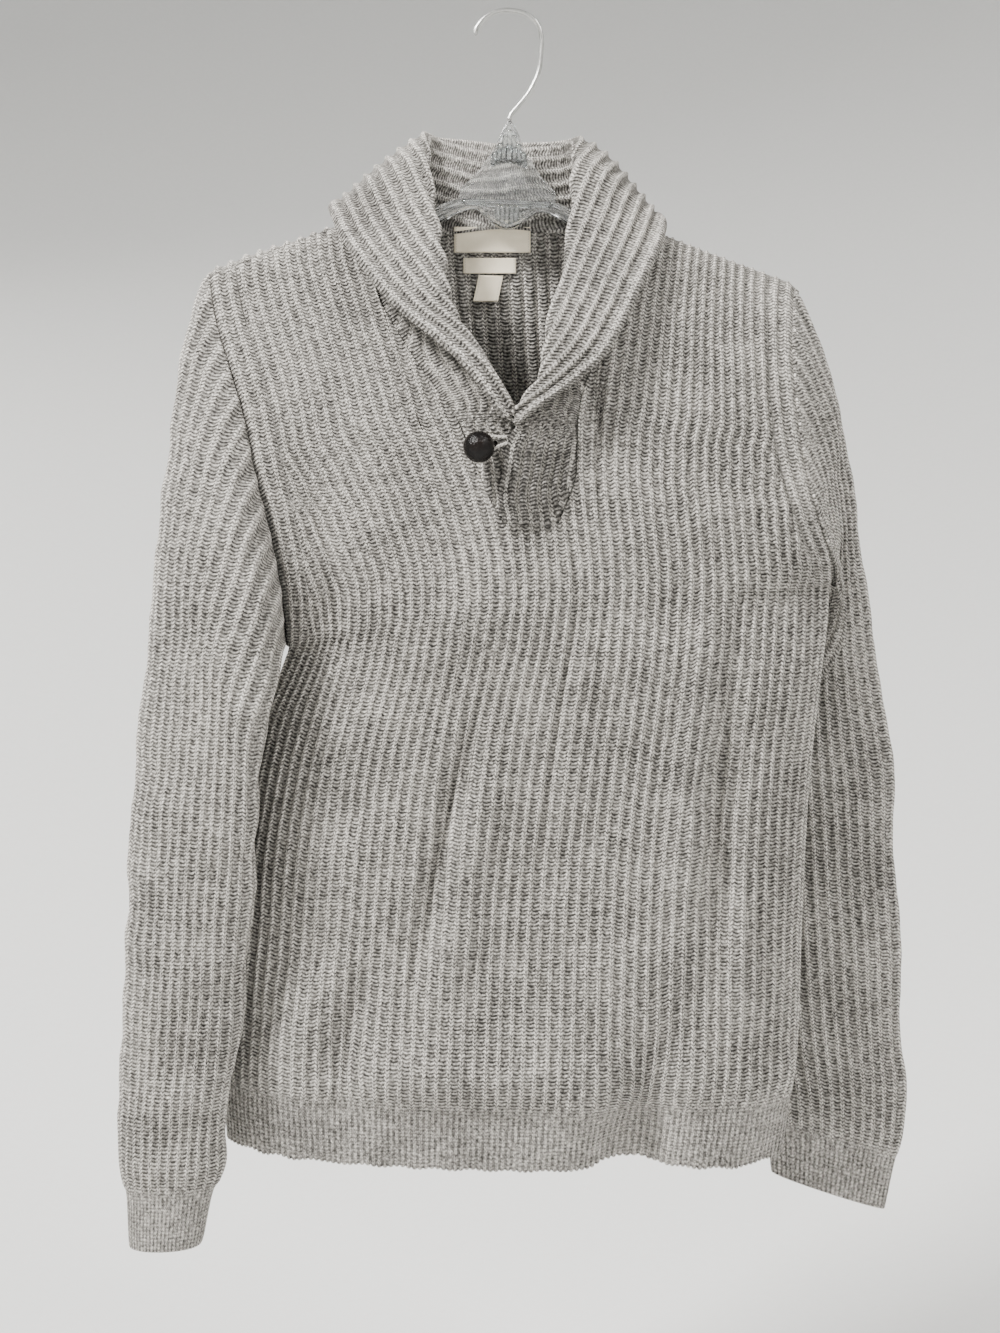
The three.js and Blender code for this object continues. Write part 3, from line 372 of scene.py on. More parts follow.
def panel(facing, across, level):
    """A panel's middle surface. Each row starts on the straight line between its two edges,
    rises like a tent, bows out in depth and is walked by a share of its own length; creases
    are bells across their lines, faded in and out along them."""
    across, level = np.broadcast_arrays(np.asarray(across, float), np.asarray(level, float))
    levels, where = np.unique(np.round(level, 9), return_inverse=True)
    where = where.reshape(level.shape)
    middle = rows_at(FRONT if facing < 0 else BACK, levels)
    left = panel_edge(ARMHOLE_LEFT, SIDE_LEFT, facing, levels)
    right = panel_edge(ARMHOLE_RIGHT, SIDE_RIGHT, facing, levels)
    c = np.sin(np.pi / 2 * np.linspace(-1, 1, 61))[None, :]
    t = (c + 1) / 2
    _, depth, rise_left, rise_right, flat, rounded = [column[:, None] for column in middle.T]
    bow = (1 - np.abs(c) ** flat) ** (1 / rounded)
    tent = np.hypot(1, TENT_SOFTNESS) - np.hypot(c, TENT_SOFTNESS)
    row = left[:, None, :] * (1 - t)[..., None] + right[:, None, :] * t[..., None]
    row[..., 1] += (depth - (left[:, 1] + right[:, 1])[:, None] / 2) * bow
    row[..., 2] += (rise_left * (1 - t) + rise_right * t) * tent
    reach = reach_of(row)
    p = walk(row, reach, where, np.clip(across, 0, 1) * reach[where, -1])
    push = np.zeros_like(across)
    creases = FRONT_CREASES if facing < 0 else BACK_CREASES
    for place, start, end, half_width, depth_in, slant in creases:
        along = np.clip((level - start) / (end - start), 0, 1)
        over = bell(across - slant * (level - start), (place, half_width))
        push += depth_in * over * np.sin(np.pi * along) ** 2
    p[..., 1] -= facing * CREASING * push * smooth(np.minimum(across, 1 - across) / CREASE_FADE)
    return p


def section(row, angle):
    """A flat oval between a section's outer and inner edges, front first."""
    out = ((1 + np.cos(angle)) / 2)[..., None]
    p = row[..., 4:7] * (1 - out) + row[..., 1:4] * out
    side = np.sin(angle)
    p[..., 1] -= row[..., 7] * np.sign(side) * np.abs(side) ** SQUARENESS
    return p


def sleeve(armhole, table, turn, at):
    """A sleeve's middle surface: its sections, led over from the armhole's loop at the start."""
    turn, at = np.broadcast_arrays(np.asarray(turn, float), np.asarray(at, float))
    angle = 2 * np.pi * turn
    p = section(rows_at(table, at), angle)
    loop = ring_at(armhole, turn)
    loop[..., 0] += np.sign(loop[..., 0]) * SLEEVE_EASE * (1 - np.cos(angle)) / 2
    first = np.broadcast_to(table[0], turn.shape + table[0].shape)
    return p + (loop - section(first, angle)) * (1 - smooth(at / ARMHOLE_REACH))[..., None]


def collar_points(station):
    """The four points of each cubic curve across the collar strip: the neck seam, two that
    carry it over the roll, and the free edge."""
    row = rows_at(COLLAR, station)
    level = np.maximum(np.abs(row[:, 2]), SHOULDER_START)
    behind, before = panel(1, row[:, 1], level), panel(-1, row[:, 1], level)
    seam = np.where((row[:, 2] < 0)[:, None], behind, before)
    roll, edge, spread, lift = row[:, 3:6], row[:, 6:9], row[:, 9:10], row[:, 10:11]
    crest = (8 * roll - seam - edge) / 6
    apart = (edge - seam) * spread / 2
    first, second = crest - apart, crest + apart
    return seam + unit(first - seam) * lift, first, second, edge


def collar(station, share):
    """The collar strip's middle surface: for each station its cubic curve, walked back from
    the free edge by a share of its length. Returns the points and the lengths."""
    stations, where = np.unique(np.round(station, 9), return_inverse=True)
    where = where.reshape(station.shape)
    seam, first, second, edge = [p[:, None, :] for p in collar_points(stations)]
    t = np.linspace(0, 1, 65)[None, :, None]
    lines = edge * (1 - t) ** 3 + second * 3 * t * (1 - t) ** 2
    lines = lines + first * 3 * t * t * (1 - t) + seam * t**3
    reach = reach_of(lines)
    length = reach[where, -1]
    return walk(lines, reach, where, np.clip(share, 0, 1) * length), length


def outward(surface, a, b, steps, side):
    """The direction square to a surface: the cross product of two short steps along its
    parameters."""
    step_a, step_b = steps
    along = surface(a + step_a, b) - surface(a - step_a, b)
    down = surface(a, b + step_b) - surface(a, b - step_b)
    return unit(np.cross(along, down)) * side


# ---- knitted pieces ----
def rib(u):
    """The height of a rib, -1 in its valley at whole numbers and 1 on its narrow ridge."""
    return 2 * ((1 + np.cos(2 * np.pi * (u - 0.5))) / 2) ** RIB_SHARPNESS - 1


def rims(grid, closed):
    """The four sides of a grid of vertex numbers as (corner, corner) pairs, in the direction
    that a rim's faces need when the grid's own faces run over, then down."""
    pairs = [(grid[0, 1:], grid[0, :-1]), (grid[-1, :-1], grid[-1, 1:])]
    if not closed:
        pairs += [(grid[:-1, 0], grid[1:, 0]), (grid[1:, -1], grid[:-1, -1])]
    return pairs


def shell_piece(name, middle, normal, wall, side, finish, uv, marks, closed=False):
    """A closed sheet: a face half a wall out along the normal and one half a wall in, joined
    by a rim round every open edge. Millimetres in, metres out."""
    rows, columns = middle.shape[:2]
    half = wall[..., None] / 2
    points = np.concatenate([middle + normal * half, middle - normal * half]).reshape(-1, 3)
    over = np.arange(columns + 1 if closed else columns)
    outer = np.arange(rows)[:, None] * columns + (over % columns)[None, :]
    inner = outer + rows * columns
    place = np.arange(rows)[:, None] * len(over) + over[None, :]

    def cells(grid):
        """The four corners of each cell of a grid of numbers, in order round it."""
        around = [grid[:-1, :-1], grid[:-1, 1:], grid[1:, 1:], grid[1:, :-1]]
        return np.stack(around, axis=-1).reshape(-1, 4)

    faces = [cells(outer), cells(inner)[:, ::-1]]
    corners = [cells(place), cells(place)[:, ::-1]]
    for outs, ins, uvs in zip(rims(outer, closed), rims(inner, closed), rims(place, closed)):
        faces.append(np.stack([outs[0], outs[1], ins[1], ins[0]], axis=-1))
        corners.append(np.stack([uvs[0], uvs[1], uvs[1], uvs[0]], axis=-1))
    faces, corners = np.concatenate(faces), np.concatenate(corners)
    if side < 0:
        faces, corners = faces[:, ::-1], corners[:, ::-1]
    return mesh_piece(name, points, faces, finish, uv.reshape(-1, 2)[corners], marks)


def finished(mesh, finish):
    """An object in the scene for a mesh, shaded smooth, with its material."""
    mesh.polygons.foreach_set("use_smooth", np.ones(len(mesh.polygons), dtype=bool))
    mesh.update(calc_edges=True)
    mesh.validate()
    mesh.materials.append(finish)
    piece = bpy.data.objects.new(mesh.name, mesh)
    bpy.context.collection.objects.link(piece)
    return piece


def mesh_piece(name, points, faces, finish, corner_uv=None, marks=None):
    """An object from points in millimetres and four-cornered faces. Its marks are kept as
    attributes: a value for each point of one face of a sheet, and the same for the other."""
    mesh = bpy.data.meshes.new(name)
    mesh.vertices.add(len(points))
    mesh.vertices.foreach_set("co", (points * MM).astype(np.float32).ravel())
    mesh.loops.add(faces.size)
    mesh.loops.foreach_set("vertex_index", faces.astype(np.int32).ravel())
    mesh.polygons.add(len(faces))
    starts = np.arange(0, faces.size, faces.shape[1], dtype=np.int32)
    mesh.polygons.foreach_set("loop_start", starts)
    if corner_uv is not None:
        layer = mesh.uv_layers.new(name="UVMap")
        layer.data.foreach_set("uv", corner_uv.astype(np.float32).ravel())
    for mark, values in (marks or {}).items():
        both = np.concatenate([values.ravel(), values.ravel()]).astype(np.float32)
        mesh.attributes.new(mark, "FLOAT", "POINT").data.foreach_set("value", both)
    return finished(mesh, finish)


def bell(x, place):
    """1 at the middle of a bell curve and falling off by its width; place holds both."""
    middle, width = place
    return np.exp(-(((x - middle) / width) ** 2))


def edge_wall(from_edge):
    """The cloth's thickness, thinned and rounded towards its free edge."""
    return WALL * (0.45 + 0.55 * smooth((from_edge + 0.4) / 2.5))


def welted(u, from_edge, welt):
    """The relief of ribbed cloth with a welt of finer ribs at its edge: the wide ribs fade
    into ribs of half their width over a few millimetres. Returns the relief and the share."""
    fine = 1 - smooth((from_edge - welt + WELT_SETTLE / 2) / WELT_SETTLE)
    relief = RIB_DEPTH * rib(u) * (1 - fine) + WELT_DEPTH * -np.cos(4 * np.pi * u) * fine
    return relief, fine


def rib_widths(level):
    """The width of each of a panel's ribs, 1 or less: beside the ribs that run along each
    armhole, one rib after another narrows to nothing on the way up."""
    width = np.ones(level.shape + (BODY_RIBS,))
    for k, ends in enumerate(SHAPING_LEVELS):
        full = 0.02 + 0.98 * smooth((level - ends) / SHAPING_REACH)
        width[..., EDGE_RIBS + k] = full
        width[..., BODY_RIBS - 1 - EDGE_RIBS - k] = full
    return width


def rib_place(facing, u, level):
    """Where the line u, counted in ribs from the left seam, lies across a panel at a level,
    and the width there of the rib that it is in."""
    level = np.broadcast_to(level, np.broadcast_shapes(np.shape(u), np.shape(level)))
    u = np.broadcast_to(u, level.shape)
    width = rib_widths(level)
    edge = np.concatenate([np.zeros(level.shape + (1,)), np.cumsum(width, axis=-1)], axis=-1)
    index = np.clip(np.floor(u), 0, BODY_RIBS - 1).astype(int)[..., None]
    start = np.take_along_axis(edge, index, -1)[..., 0]
    own = np.take_along_axis(width, index, -1)[..., 0]
    share = (start + own * (u - index[..., 0])) / edge[..., -1]
    if facing < 0:
        open_up = smooth((FAN_FOOT - level) / FAN_FOOT)
        to_left = smooth(share / 0.4) * (1 - smooth((share - 0.42) / 0.08))
        to_right = smooth((1 - share) / 0.42) * smooth((share - 0.47) / 0.08)
        share = share + open_up * (FAN_RIGHT * to_right - FAN_LEFT * to_left)
    return share, own


def neck_line(facing):
    """The neck seam as (across, level) on one panel, in order across it."""
    station = np.linspace(0, COLLAR[-1, 0], 400)
    row = rows_at(COLLAR, station)
    across, level = row[:, 1], row[:, 2]
    if facing > 0:
        keep = (station >= LEFT_SHOULDER) & (station <= RIGHT_SHOULDER)
        return across[keep], np.abs(level[keep])
    left, right = station <= LEFT_SHOULDER, station >= RIGHT_SHOULDER
    return (
        np.concatenate([across[left][::-1], across[right][::-1]]),
        np.abs(np.concatenate([level[left][::-1], level[right][::-1]])),
    )


def column_tops(facing, u):
    """The level where each column of a panel starts: the lowest one that has cloth all the
    way down from it, found on a fine ladder of levels and then between its rungs."""
    ladder = np.linspace(0, 1, 801)
    across, _ = rib_place(facing, u[None, :], ladder[:, None])
    seam_across, seam_level = neck_line(facing)
    order = np.argsort(seam_across, kind="stable")
    seam = np.interp(across, seam_across[order], seam_level[order], left=0, right=0)
    over = ladder[:, None] - seam
    cut = over < 0
    last = len(ladder) - 1 - np.argmax(cut[::-1], axis=0)
    columns = np.arange(len(u))
    low = over[last, columns]
    high = over[np.minimum(last + 1, len(ladder) - 1), columns]
    top = ladder[last] - low / np.maximum(high - low, 1e-9) * (ladder[1] - ladder[0])
    return np.where(cut.any(axis=0), top, 0)


def body_panel(name, facing, finish):
    """The front or back. Its columns follow the ribs from the hem up to the neck or shoulder;
    the cloth is pushed in and out by the ribs, drawn in at the welt and along the seams."""
    u = np.arange(BODY_RIBS * RIB_SAMPLES + 1) / RIB_SAMPLES
    top = np.maximum(column_tops(facing, u), SHOULDER_START)
    down = spaced(PANEL_ROWS, [0, 0.03, 0.1, 0.92, 1], [0.4, 0.8, 1, 1, 0.55])
    down[-2] = 1 - LAST_ROW / BODY_DROP
    level = top + down[:, None] * (2 - top)
    across, own = rib_place(facing, u[None, :], level)
    wobble = RIB_WANDER * smooth(np.minimum(across, 1 - across) / 0.1)
    across = across + wobble * np.sin(level * 9 + across * 7 + facing) * smooth(2 - level)
    across = np.clip(across, EDGE_GAP, 1 - EDGE_GAP)
    from_side = np.minimum(u, BODY_RIBS - u)[None, :]
    # the ribs run on smoothly past the underarms, where the panel's edges turn
    line = np.arange(len(down))
    near = bell(line[:, None] - line[None, :], (0, SMOOTHED_ROWS))
    x = panel(facing, across, level)[..., 0]
    straighter = near @ x / near.sum(axis=1, keepdims=True) - x
    around_arm = bell(level, (1, 0.3)) * smooth(from_side / SMOOTHED_ROWS)
    across = across + straighter * around_arm / PANEL_WIDTH
    middle = panel(facing, across, level)
    normal = outward(lambda a, l: panel(facing, a, l), across, level, PANEL_STEPS, facing)
    other = outward(lambda a, l: panel(-facing, a, l), across, level, PANEL_STEPS, -facing)
    side_seam = smooth((level - 1) / 0.05) * (1 - smooth(from_side / 0.8))
    sewn = np.maximum(1 - smooth(level / 0.03), side_seam)
    normal = unit(normal + other * sewn[..., None])
    from_hem = np.linalg.norm(np.diff(middle, axis=0), axis=2)[::-1].cumsum(axis=0)[::-1]
    from_hem = np.concatenate([from_hem, np.zeros((1, len(u)))])
    relief, fine = welted(u[None, :], from_hem, HEM_WELT)
    relief = np.where(own < 0.999, RIB_DEPTH * ((rib(u[None, :]) + 1) * own - 1), relief)
    seam = rows_at(COLLAR, np.linspace(0, COLLAR[-1, 0], 300))
    seam_side = np.where(facing < 0, seam[:, 2] >= 0, seam[:, 2] <= 0)
    seam_points = panel(facing, seam[seam_side, 1], np.abs(seam[seam_side, 2]))
    flat = middle.reshape(-1, 3)
    apart = (flat**2).sum(1)[:, None] + (seam_points**2).sum(1)[None, :] - 2 * flat @ seam_points.T
    from_neck = np.sqrt(np.maximum(apart.min(axis=1), 0)).reshape(level.shape)
    relief *= smooth((from_neck - 1) / 6)
    relief *= 1 - 0.9 * (1 - smooth(level / 0.012)) * (level < 0.02)
    armhole = (1 - smooth((from_side * 8 - 1) / 5)) * (1 - smooth((level - 0.96) / 0.04))
    relief = relief * (1 - 0.6 * armhole) - SEAM_SINK * armhole
    puff = WELT_PUFF * (1 + ripple(middle, 75, 50 + facing))
    drawn_in = WELT_DRAW * fine - puff * bell(from_hem - HEM_WELT, HEM_PUFF)
    slack = smooth((from_neck - 10) / 40) * smooth(from_side / 5) * smooth(level / 0.1)
    drift = DRAPE * ripple(middle, 150, 3 + facing) + DRAPE / 2 * ripple(middle, 60, 7 + facing)
    lift = relief - drawn_in * smooth(from_side / 3) + drift * slack
    turned_under = armhole * smooth(1 - from_side / 0.6) ** 2
    sideways = unit(np.gradient(middle, axis=1)) * np.sign(u - BODY_RIBS / 2)[None, :, None]
    lift = lift - TURNING_DEPTH * turned_under
    middle = middle + normal * lift[..., None] + sideways * (SEAM_TURNING * turned_under)[..., None]
    frill = HEM_WAVE * (ripple(middle, 34, 40 + facing) + 0.35 * np.cos(4 * np.pi * u[None, :]))
    middle[..., 2] += frill * (1 - smooth(from_hem / 30))
    wall = edge_wall(from_hem)
    uv = np.stack([np.broadcast_to(u[None, :], level.shape), from_hem / COURSE], axis=-1)
    return shell_piece(name, middle, normal, wall, facing, finish, uv, {"welt": fine})


def sleeve_piece(name, armhole, table, side, finish):
    """A sleeve. Its columns are its ribs, spaced evenly round each ring from the line that
    starts at the shoulder, front first, and back again along the underarm."""
    u = np.arange(SLEEVE_RIBS * RIB_SAMPLES) / RIB_SAMPLES
    at = spaced(SLEEVE_LINES, [0, 0.1, 0.9, 1], [0.5, 1, 1, 0.7])
    at[-2] = 1 - LAST_ROW / SLEEVE_DROP
    at = (SLEEVE_START + at * (1 - SLEEVE_START))[:, None]
    fine_turn = np.linspace(0, 1, 361)
    reach = reach_of(sleeve(armhole, table, fine_turn[None, :], at))
    half = reach[:, 180:181]
    beyond = 0.5 + (reach - half) / (reach[:, -1:] - half) / 2
    around = np.where(fine_turn[None, :] <= 0.5, reach / half / 2, beyond)
    line = np.broadcast_to(np.arange(len(at))[:, None], (len(at), len(u)))
    carried = np.broadcast_to(fine_turn, reach.shape)
    share = np.broadcast_to(u[None, :] / SLEEVE_RIBS, line.shape)
    turn = walk(np.ascontiguousarray(carried), around, line, share)[..., 0]
    at = np.broadcast_to(at, turn.shape)
    middle = sleeve(armhole, table, turn, at)
    normal = outward(lambda a, b: sleeve(armhole, table, a, b), turn, at, SLEEVE_STEPS, side)
    length = np.linalg.norm(np.diff(middle, axis=0), axis=2)
    from_cuff = np.concatenate([length[::-1].cumsum(axis=0)[::-1], np.zeros((1, len(u)))])
    from_armhole = np.concatenate([np.zeros((1, len(u))), length.cumsum(axis=0)])
    relief, fine = welted(u[None, :], from_cuff, CUFF_WELT)
    near = 1 - smooth((from_armhole - 1) / 6)
    relief = relief * SLEEVE_RIB_SHARE * (1 - 0.75 * near) - SEAM_SINK * near
    gathers = np.sin(2 * np.pi * u[None, :] / GATHER_RIBS + 3 * np.sin(u[None, :]))
    gathers = GATHER * gathers * bell(from_armhole, GATHER_PLACE)
    slack = smooth(from_armhole / 60) * smooth((from_cuff - CUFF_WELT) / 60)
    drift = DRAPE * ripple(middle, 110, 20 + side) + DRAPE * 0.6 * ripple(middle, 45, 25 + side)
    drawn_in = CUFF_DRAW * fine - WELT_PUFF * 0.6 * bell(from_cuff - CUFF_WELT, CUFF_PUFF)
    lift = relief + gathers + drift * slack - drawn_in
    middle = middle + normal * lift[..., None]
    wall = edge_wall(from_cuff)
    turned = np.append(u, SLEEVE_RIBS)
    rows = np.concatenate([from_cuff, from_cuff[:, :1]], axis=1) / COURSE
    uv = np.stack([np.broadcast_to(turned[None, :], rows.shape), rows], axis=-1)
    return shell_piece(name, middle, normal, wall, side, finish, uv, {"welt": fine}, closed=True)


def collar_turning(station):
    """Where the collar's raw edge lies: past the neck seam, behind the panel sewn to it."""
    row = rows_at(COLLAR, station)
    level = np.maximum(np.abs(row[:, 2]), SHOULDER_START)
    seam, first, _, _ = collar_points(station)
    before = outward(lambda a, l: panel(-1, a, l), row[:, 1], level, PANEL_STEPS, -1)
    behind = outward(lambda a, l: panel(1, a, l), row[:, 1], level, PANEL_STEPS, 1)
    share = smooth(0.5 - row[:, 2] / 0.04)[:, None]
    square = unit(before * (1 - share) + behind * share)
    return seam - unit(first - seam) * COLLAR_TURNING - square * TURNING_DEPTH


def collar_piece(name, finish):
    """The collar strip. Its ribs run along it and are counted from the free edge, where one
    wide smooth rib is rolled over; the neck seam cuts across the ribs that lie next to it."""
    station = np.linspace(0, COLLAR[-1, 0], COLLAR_LINES)[:, None]
    share = np.linspace(0, 1, COLLAR_COLUMNS)[None, :]
    station, share = np.broadcast_arrays(station, share)
    middle, length = collar(station, share)
    normal = outward(lambda s, a: collar(s, a)[0], station, share, COLLAR_STEPS, -1)
    pitch = np.interp(station, COLLAR_PITCH[:, 0], COLLAR_PITCH[:, 1])
    from_edge = share * length
    u = from_edge / pitch
    from_seam = length - from_edge
    edge_rib = EDGE_RISE * np.sin(np.pi * np.clip(u / EDGE_ROLL, 0, 1)) ** 0.7 - 0.2
    ends = np.minimum(station, COLLAR[-1, 0] - station)
    band = 1 - smooth((ends - 1.5) / 2)
    depth = COLLAR_RIB_DEPTH * (1 + BAND_DEEPER * band)
    relief = np.where(u < EDGE_ROLL, edge_rib, depth * rib(u - EDGE_ROLL))
    relief *= smooth((from_seam - 0.6) / 5)
    relief *= 0.3 + 0.7 * smooth(ends / 0.3)
    drift = COLLAR_DRAPE * ripple(middle, 90, 31) * smooth(ends / 4) * smooth(from_seam / 20)
    middle = middle + normal * (relief + drift)[..., None]
    tuck = (1 - smooth(from_seam / 6))[..., None]
    middle = middle + tuck * (collar_turning(station[:, 0]) - middle[:, -1])[:, None, :]
    sewn_down = 1 - smooth(ends / 0.5)
    middle[..., 1] += FOOT_BACK * sewn_down * smooth(from_seam / 4)
    middle[..., 2] -= FOOT_LAP * (1 - smooth(ends / 0.25))
    plump = smooth(u / 0.35) * (1 - smooth((u - EDGE_ROLL + 0.35) / 0.35))
    wall = WALL * (0.5 + 0.5 * smooth((from_edge + 0.3) / 2)) + EDGE_PLUMP * plump
    along = np.linalg.norm(np.diff(middle[:, COLLAR_COLUMNS // 3], axis=0), axis=1).cumsum()
    along = np.broadcast_to(np.concatenate([[0], along])[:, None], station.shape)
    uv = np.stack([u - EDGE_ROLL, along / COURSE], axis=-1)
    # the collar's valleys get painted shade, stronger in the bands at its ends
    marks = {"welt": 0 * u, "painted_hollow_shade": 1 + BAND_HOLLOW_SHADE * band}
    return shell_piece(name, middle, normal, wall, 1, finish, uv, marks)


# ---- labels ----
def inner_depth(x, z):
    """The depth of the back panel's middle surface at places near the centre back, found by
    stepping across and down the panel until x and z agree."""
    across, level = np.full(x.shape, 0.5), np.full(x.shape, 0.3)
    for _ in range(12):
        p = panel(1, across, level)
        across = across + (x - p[..., 0]) / PANEL_WIDTH
        level = level - (z - p[..., 2]) / YOKE_DROP
    return panel(1, across, level)[..., 1]


def label_piece(name, width, height, centre, top, shear, curl, finish):
    """A satin label: a flat strip that lies on the back panel's ribs, hangs from its top edge
    and curls away from the cloth towards its lower edge."""
    down, over = np.meshgrid(np.linspace(0, 1, 15), np.linspace(0, 1, 29), indexing="ij")
    x = centre + shear * down + (over - 0.5) * width
    z = top - height * down
    y = inner_depth(x, z) - LABEL_LIFT - curl * down**2 - 0.25 * np.sin(over * 9 + top) * down
    middle = np.stack([x, y, z], axis=-1)
    normal = np.broadcast_to(np.array([0.0, -1.0, 0.0]), middle.shape)
    uv = np.stack([(over - 0.5) * width, down * height], axis=-1)
    from_end = np.minimum(over, 1 - over) * width
    wall = np.full(x.shape, LABEL_THICK)
    return shell_piece(name, middle, normal, wall, -1, finish, uv, {"from_end": from_end})


# ---- button, loop and hanger ----
def ring_faces(rows, count):
    """Four-cornered faces between closed rings of vertices."""
    a = np.arange(rows - 1)[:, None] * count + np.arange(count)[None, :]
    b = np.arange(rows - 1)[:, None] * count + (np.arange(count)[None, :] + 1) % count
    return np.stack([a, a + count, b + count, b], axis=-1).reshape(-1, 4)


def ring_piece(name, bodies, finish):
    """Closed bodies, each a stack of closed rings with a fan of triangles over each end,
    turned inside out where their volume comes out negative."""
    points, faces, start = [], [], 0
    for rings in bodies:
        rows, count = rings.shape[:2]
        flat = np.concatenate([rings.reshape(-1, 3), rings[[0, -1]].mean(axis=1)])
        k = np.arange(count)
        over = (k + 1) % count
        first, last = np.full(count, rows * count), np.full(count, rows * count + 1)
        low = (rows - 1) * count
        quads = ring_faces(rows, count)
        fans = [np.stack([k, over, first], 1), np.stack([low + over, low + k, last], 1)]
        fans = np.concatenate(fans)
        triangles = np.concatenate([quads[:, :3], quads[:, [0, 2, 3]], fans])
        a, b, c = [flat[triangles[:, corner]] for corner in range(3)]
        if np.einsum("ij,ij->i", a, np.cross(b, c)).sum() < 0:
            quads, fans = quads[:, ::-1], fans[:, ::-1]
        points.append(flat)
        faces += (quads + start).tolist() + (fans + start).tolist()
        start += len(flat)
    mesh = bpy.data.meshes.new(name)
    mesh.from_pydata((np.concatenate(points) * MM).tolist(), [], faces)
    return finished(mesh, finish)


def smooth_path(points, count):
    """A curve through points, spaced by the square roots of their distances."""
    points = np.array(points, float)
    apart = np.linalg.norm(np.diff(points, axis=0), axis=1)
    knots = np.concatenate([[0], np.cumsum(apart**0.5)])
    table = np.concatenate([knots[:, None], points], axis=1)
    line = rows_at(table, np.linspace(0, knots[-1], 600))[:, 1:]
    reach = reach_of(line[None])
    return walk(line, reach, np.zeros(count, int), np.linspace(0, reach[0, -1], count))


def tube(path, radius, count, up=(0, 1, 0)):
    """Rings round a path, square to it, from a fixed direction made square to the path."""
    along = unit(np.gradient(path, axis=0))
    side = unit(np.cross(along, np.array(up, float)))
    lift = np.cross(side, along)
    angle = 2 * np.pi * np.arange(count) / count
    radius = np.broadcast_to(radius, len(path))[:, None, None]
    cosine, sine = np.cos(angle)[None, :, None], np.sin(angle)[None, :, None]
    return path[:, None] + (cosine * side[:, None] + sine * lift[:, None]) * radius


def rounded_ends(path, radius, both=True):
    """The radius along a tube whose ends, or only the first, are half balls: the root of r
    squared less the square of what is missing to r from the end. An end keeps 0.03 of its
    radius, so that its last ring of faces doesn't vanish."""
    reach = reach_of(path[None])[0]
    inward = reach / radius
    if both:
        inward = np.minimum(inward, (reach[-1] - reach) / radius)
    return radius * np.sqrt(np.clip(1 - (1 - np.clip(inward, 0, 1)) ** 2, 0.0009, 1))


def button_piece(finish):
    """A ball button: leather drawn over a ball and gathered in pleats where it meets the
    shank, which goes on as a short stalk down to the band."""
    axis = SHANK_FOOT - BUTTON_CENTRE
    length = np.linalg.norm(axis)
    axis = axis / length
    side = unit(np.cross(axis, np.array([0.0, 0.0, 1.0])))
    lift = np.cross(side, axis)
    neck = math.asin(SHANK_RADIUS / BUTTON_RADIUS)
    polar = np.linspace(0.015, math.pi - neck, 72)[:, None]
    angle = 2 * np.pi * np.arange(BUTTON_SIDES)[None, :] / BUTTON_SIDES
    pleat = smooth((polar - 1.75) / 1.0)
    folds = 0.5 + 0.5 * np.cos(PLEATS * angle + 0.6 * np.sin(3 * angle))
    radius = BUTTON_RADIUS * (1 - PLEAT_DEPTH * pleat * folds)
    uneven = (1 + np.sin(2 * angle + 1)) * np.sin(polar) ** 2
    radius = radius * (1 - OUT_OF_ROUND * uneven)
    out, down = radius * np.sin(polar), -radius * np.cos(polar)
    stalk_down = np.linspace(down[-1].mean() + 0.6, length, 8)[:, None]
    stalk = np.full((8, BUTTON_SIDES), SHANK_RADIUS) * (1 + 0.04 * np.cos(PLEATS * angle))
    out = np.concatenate([out, stalk])
    down = np.concatenate([down, np.broadcast_to(stalk_down, stalk.shape)])
    angle = np.broadcast_to(angle, out.shape)
    ring = np.cos(angle)[..., None] * side + np.sin(angle)[..., None] * lift
    ball = BUTTON_CENTRE + out[..., None] * ring + down[..., None] * axis
    return ring_piece("ball_button", [ball], finish)


def loop_piece(finish):
    """The button loop: two strands of yarn twisted round each other along the loop's path."""
    along = LOOP_END - LOOP_ANCHOR
    beside = np.array([0.0, 0.0, 1.0])
    route = [LOOP_ANCHOR + along * a + beside * LOOP_HALF_WIDTH * b for a, b in LOOP_ROUTE]
    path = smooth_path(route, 260)
    reach = reach_of(path[None])[0]
    ahead = unit(np.gradient(path, axis=0))
    side = unit(np.cross(ahead, np.array([0.0, 1.0, 0.0])))
    lift = np.cross(side, ahead)
    bodies = []
    for strand in (0, math.pi):
        angle = (reach / LOOP_TWIST * 2 * math.pi + strand)[:, None]
        line = path + (np.cos(angle) * side + np.sin(angle) * lift) * LOOP_STRAND * 0.8
        bodies.append(tube(line, rounded_ends(line, LOOP_STRAND), 12))
    return ring_piece("yarn_loop", bodies, finish)


def hook_piece(finish):
    """The hook: round steel wire bent over the rod and down in an S into the crown, its free
    end rounded off."""
    path = smooth_path([[x, 0, z] for x, z in HOOK_ROUTE], 240)
    wire = tube(path, rounded_ends(path, HOOK_WIRE, both=False), 28)
    return ring_piece("wire_hook", [wire], finish)


def hung(points):
    """The hanger's tilt about its pivot, then its turn about the upright."""
    tilt, turn = math.radians(HANGER_TILT), math.radians(HANGER_TURN)
    x, y, z = points[..., 0], points[..., 1], points[..., 2] - HANGER_PIVOT_Z
    x, z = x * math.cos(tilt) + z * math.sin(tilt), z * math.cos(tilt) - x * math.sin(tilt)
    x, y = x * math.cos(turn) - y * math.sin(turn), x * math.sin(turn) + y * math.cos(turn)
    return np.stack([x, y, z + HANGER_PIVOT_Z], -1)


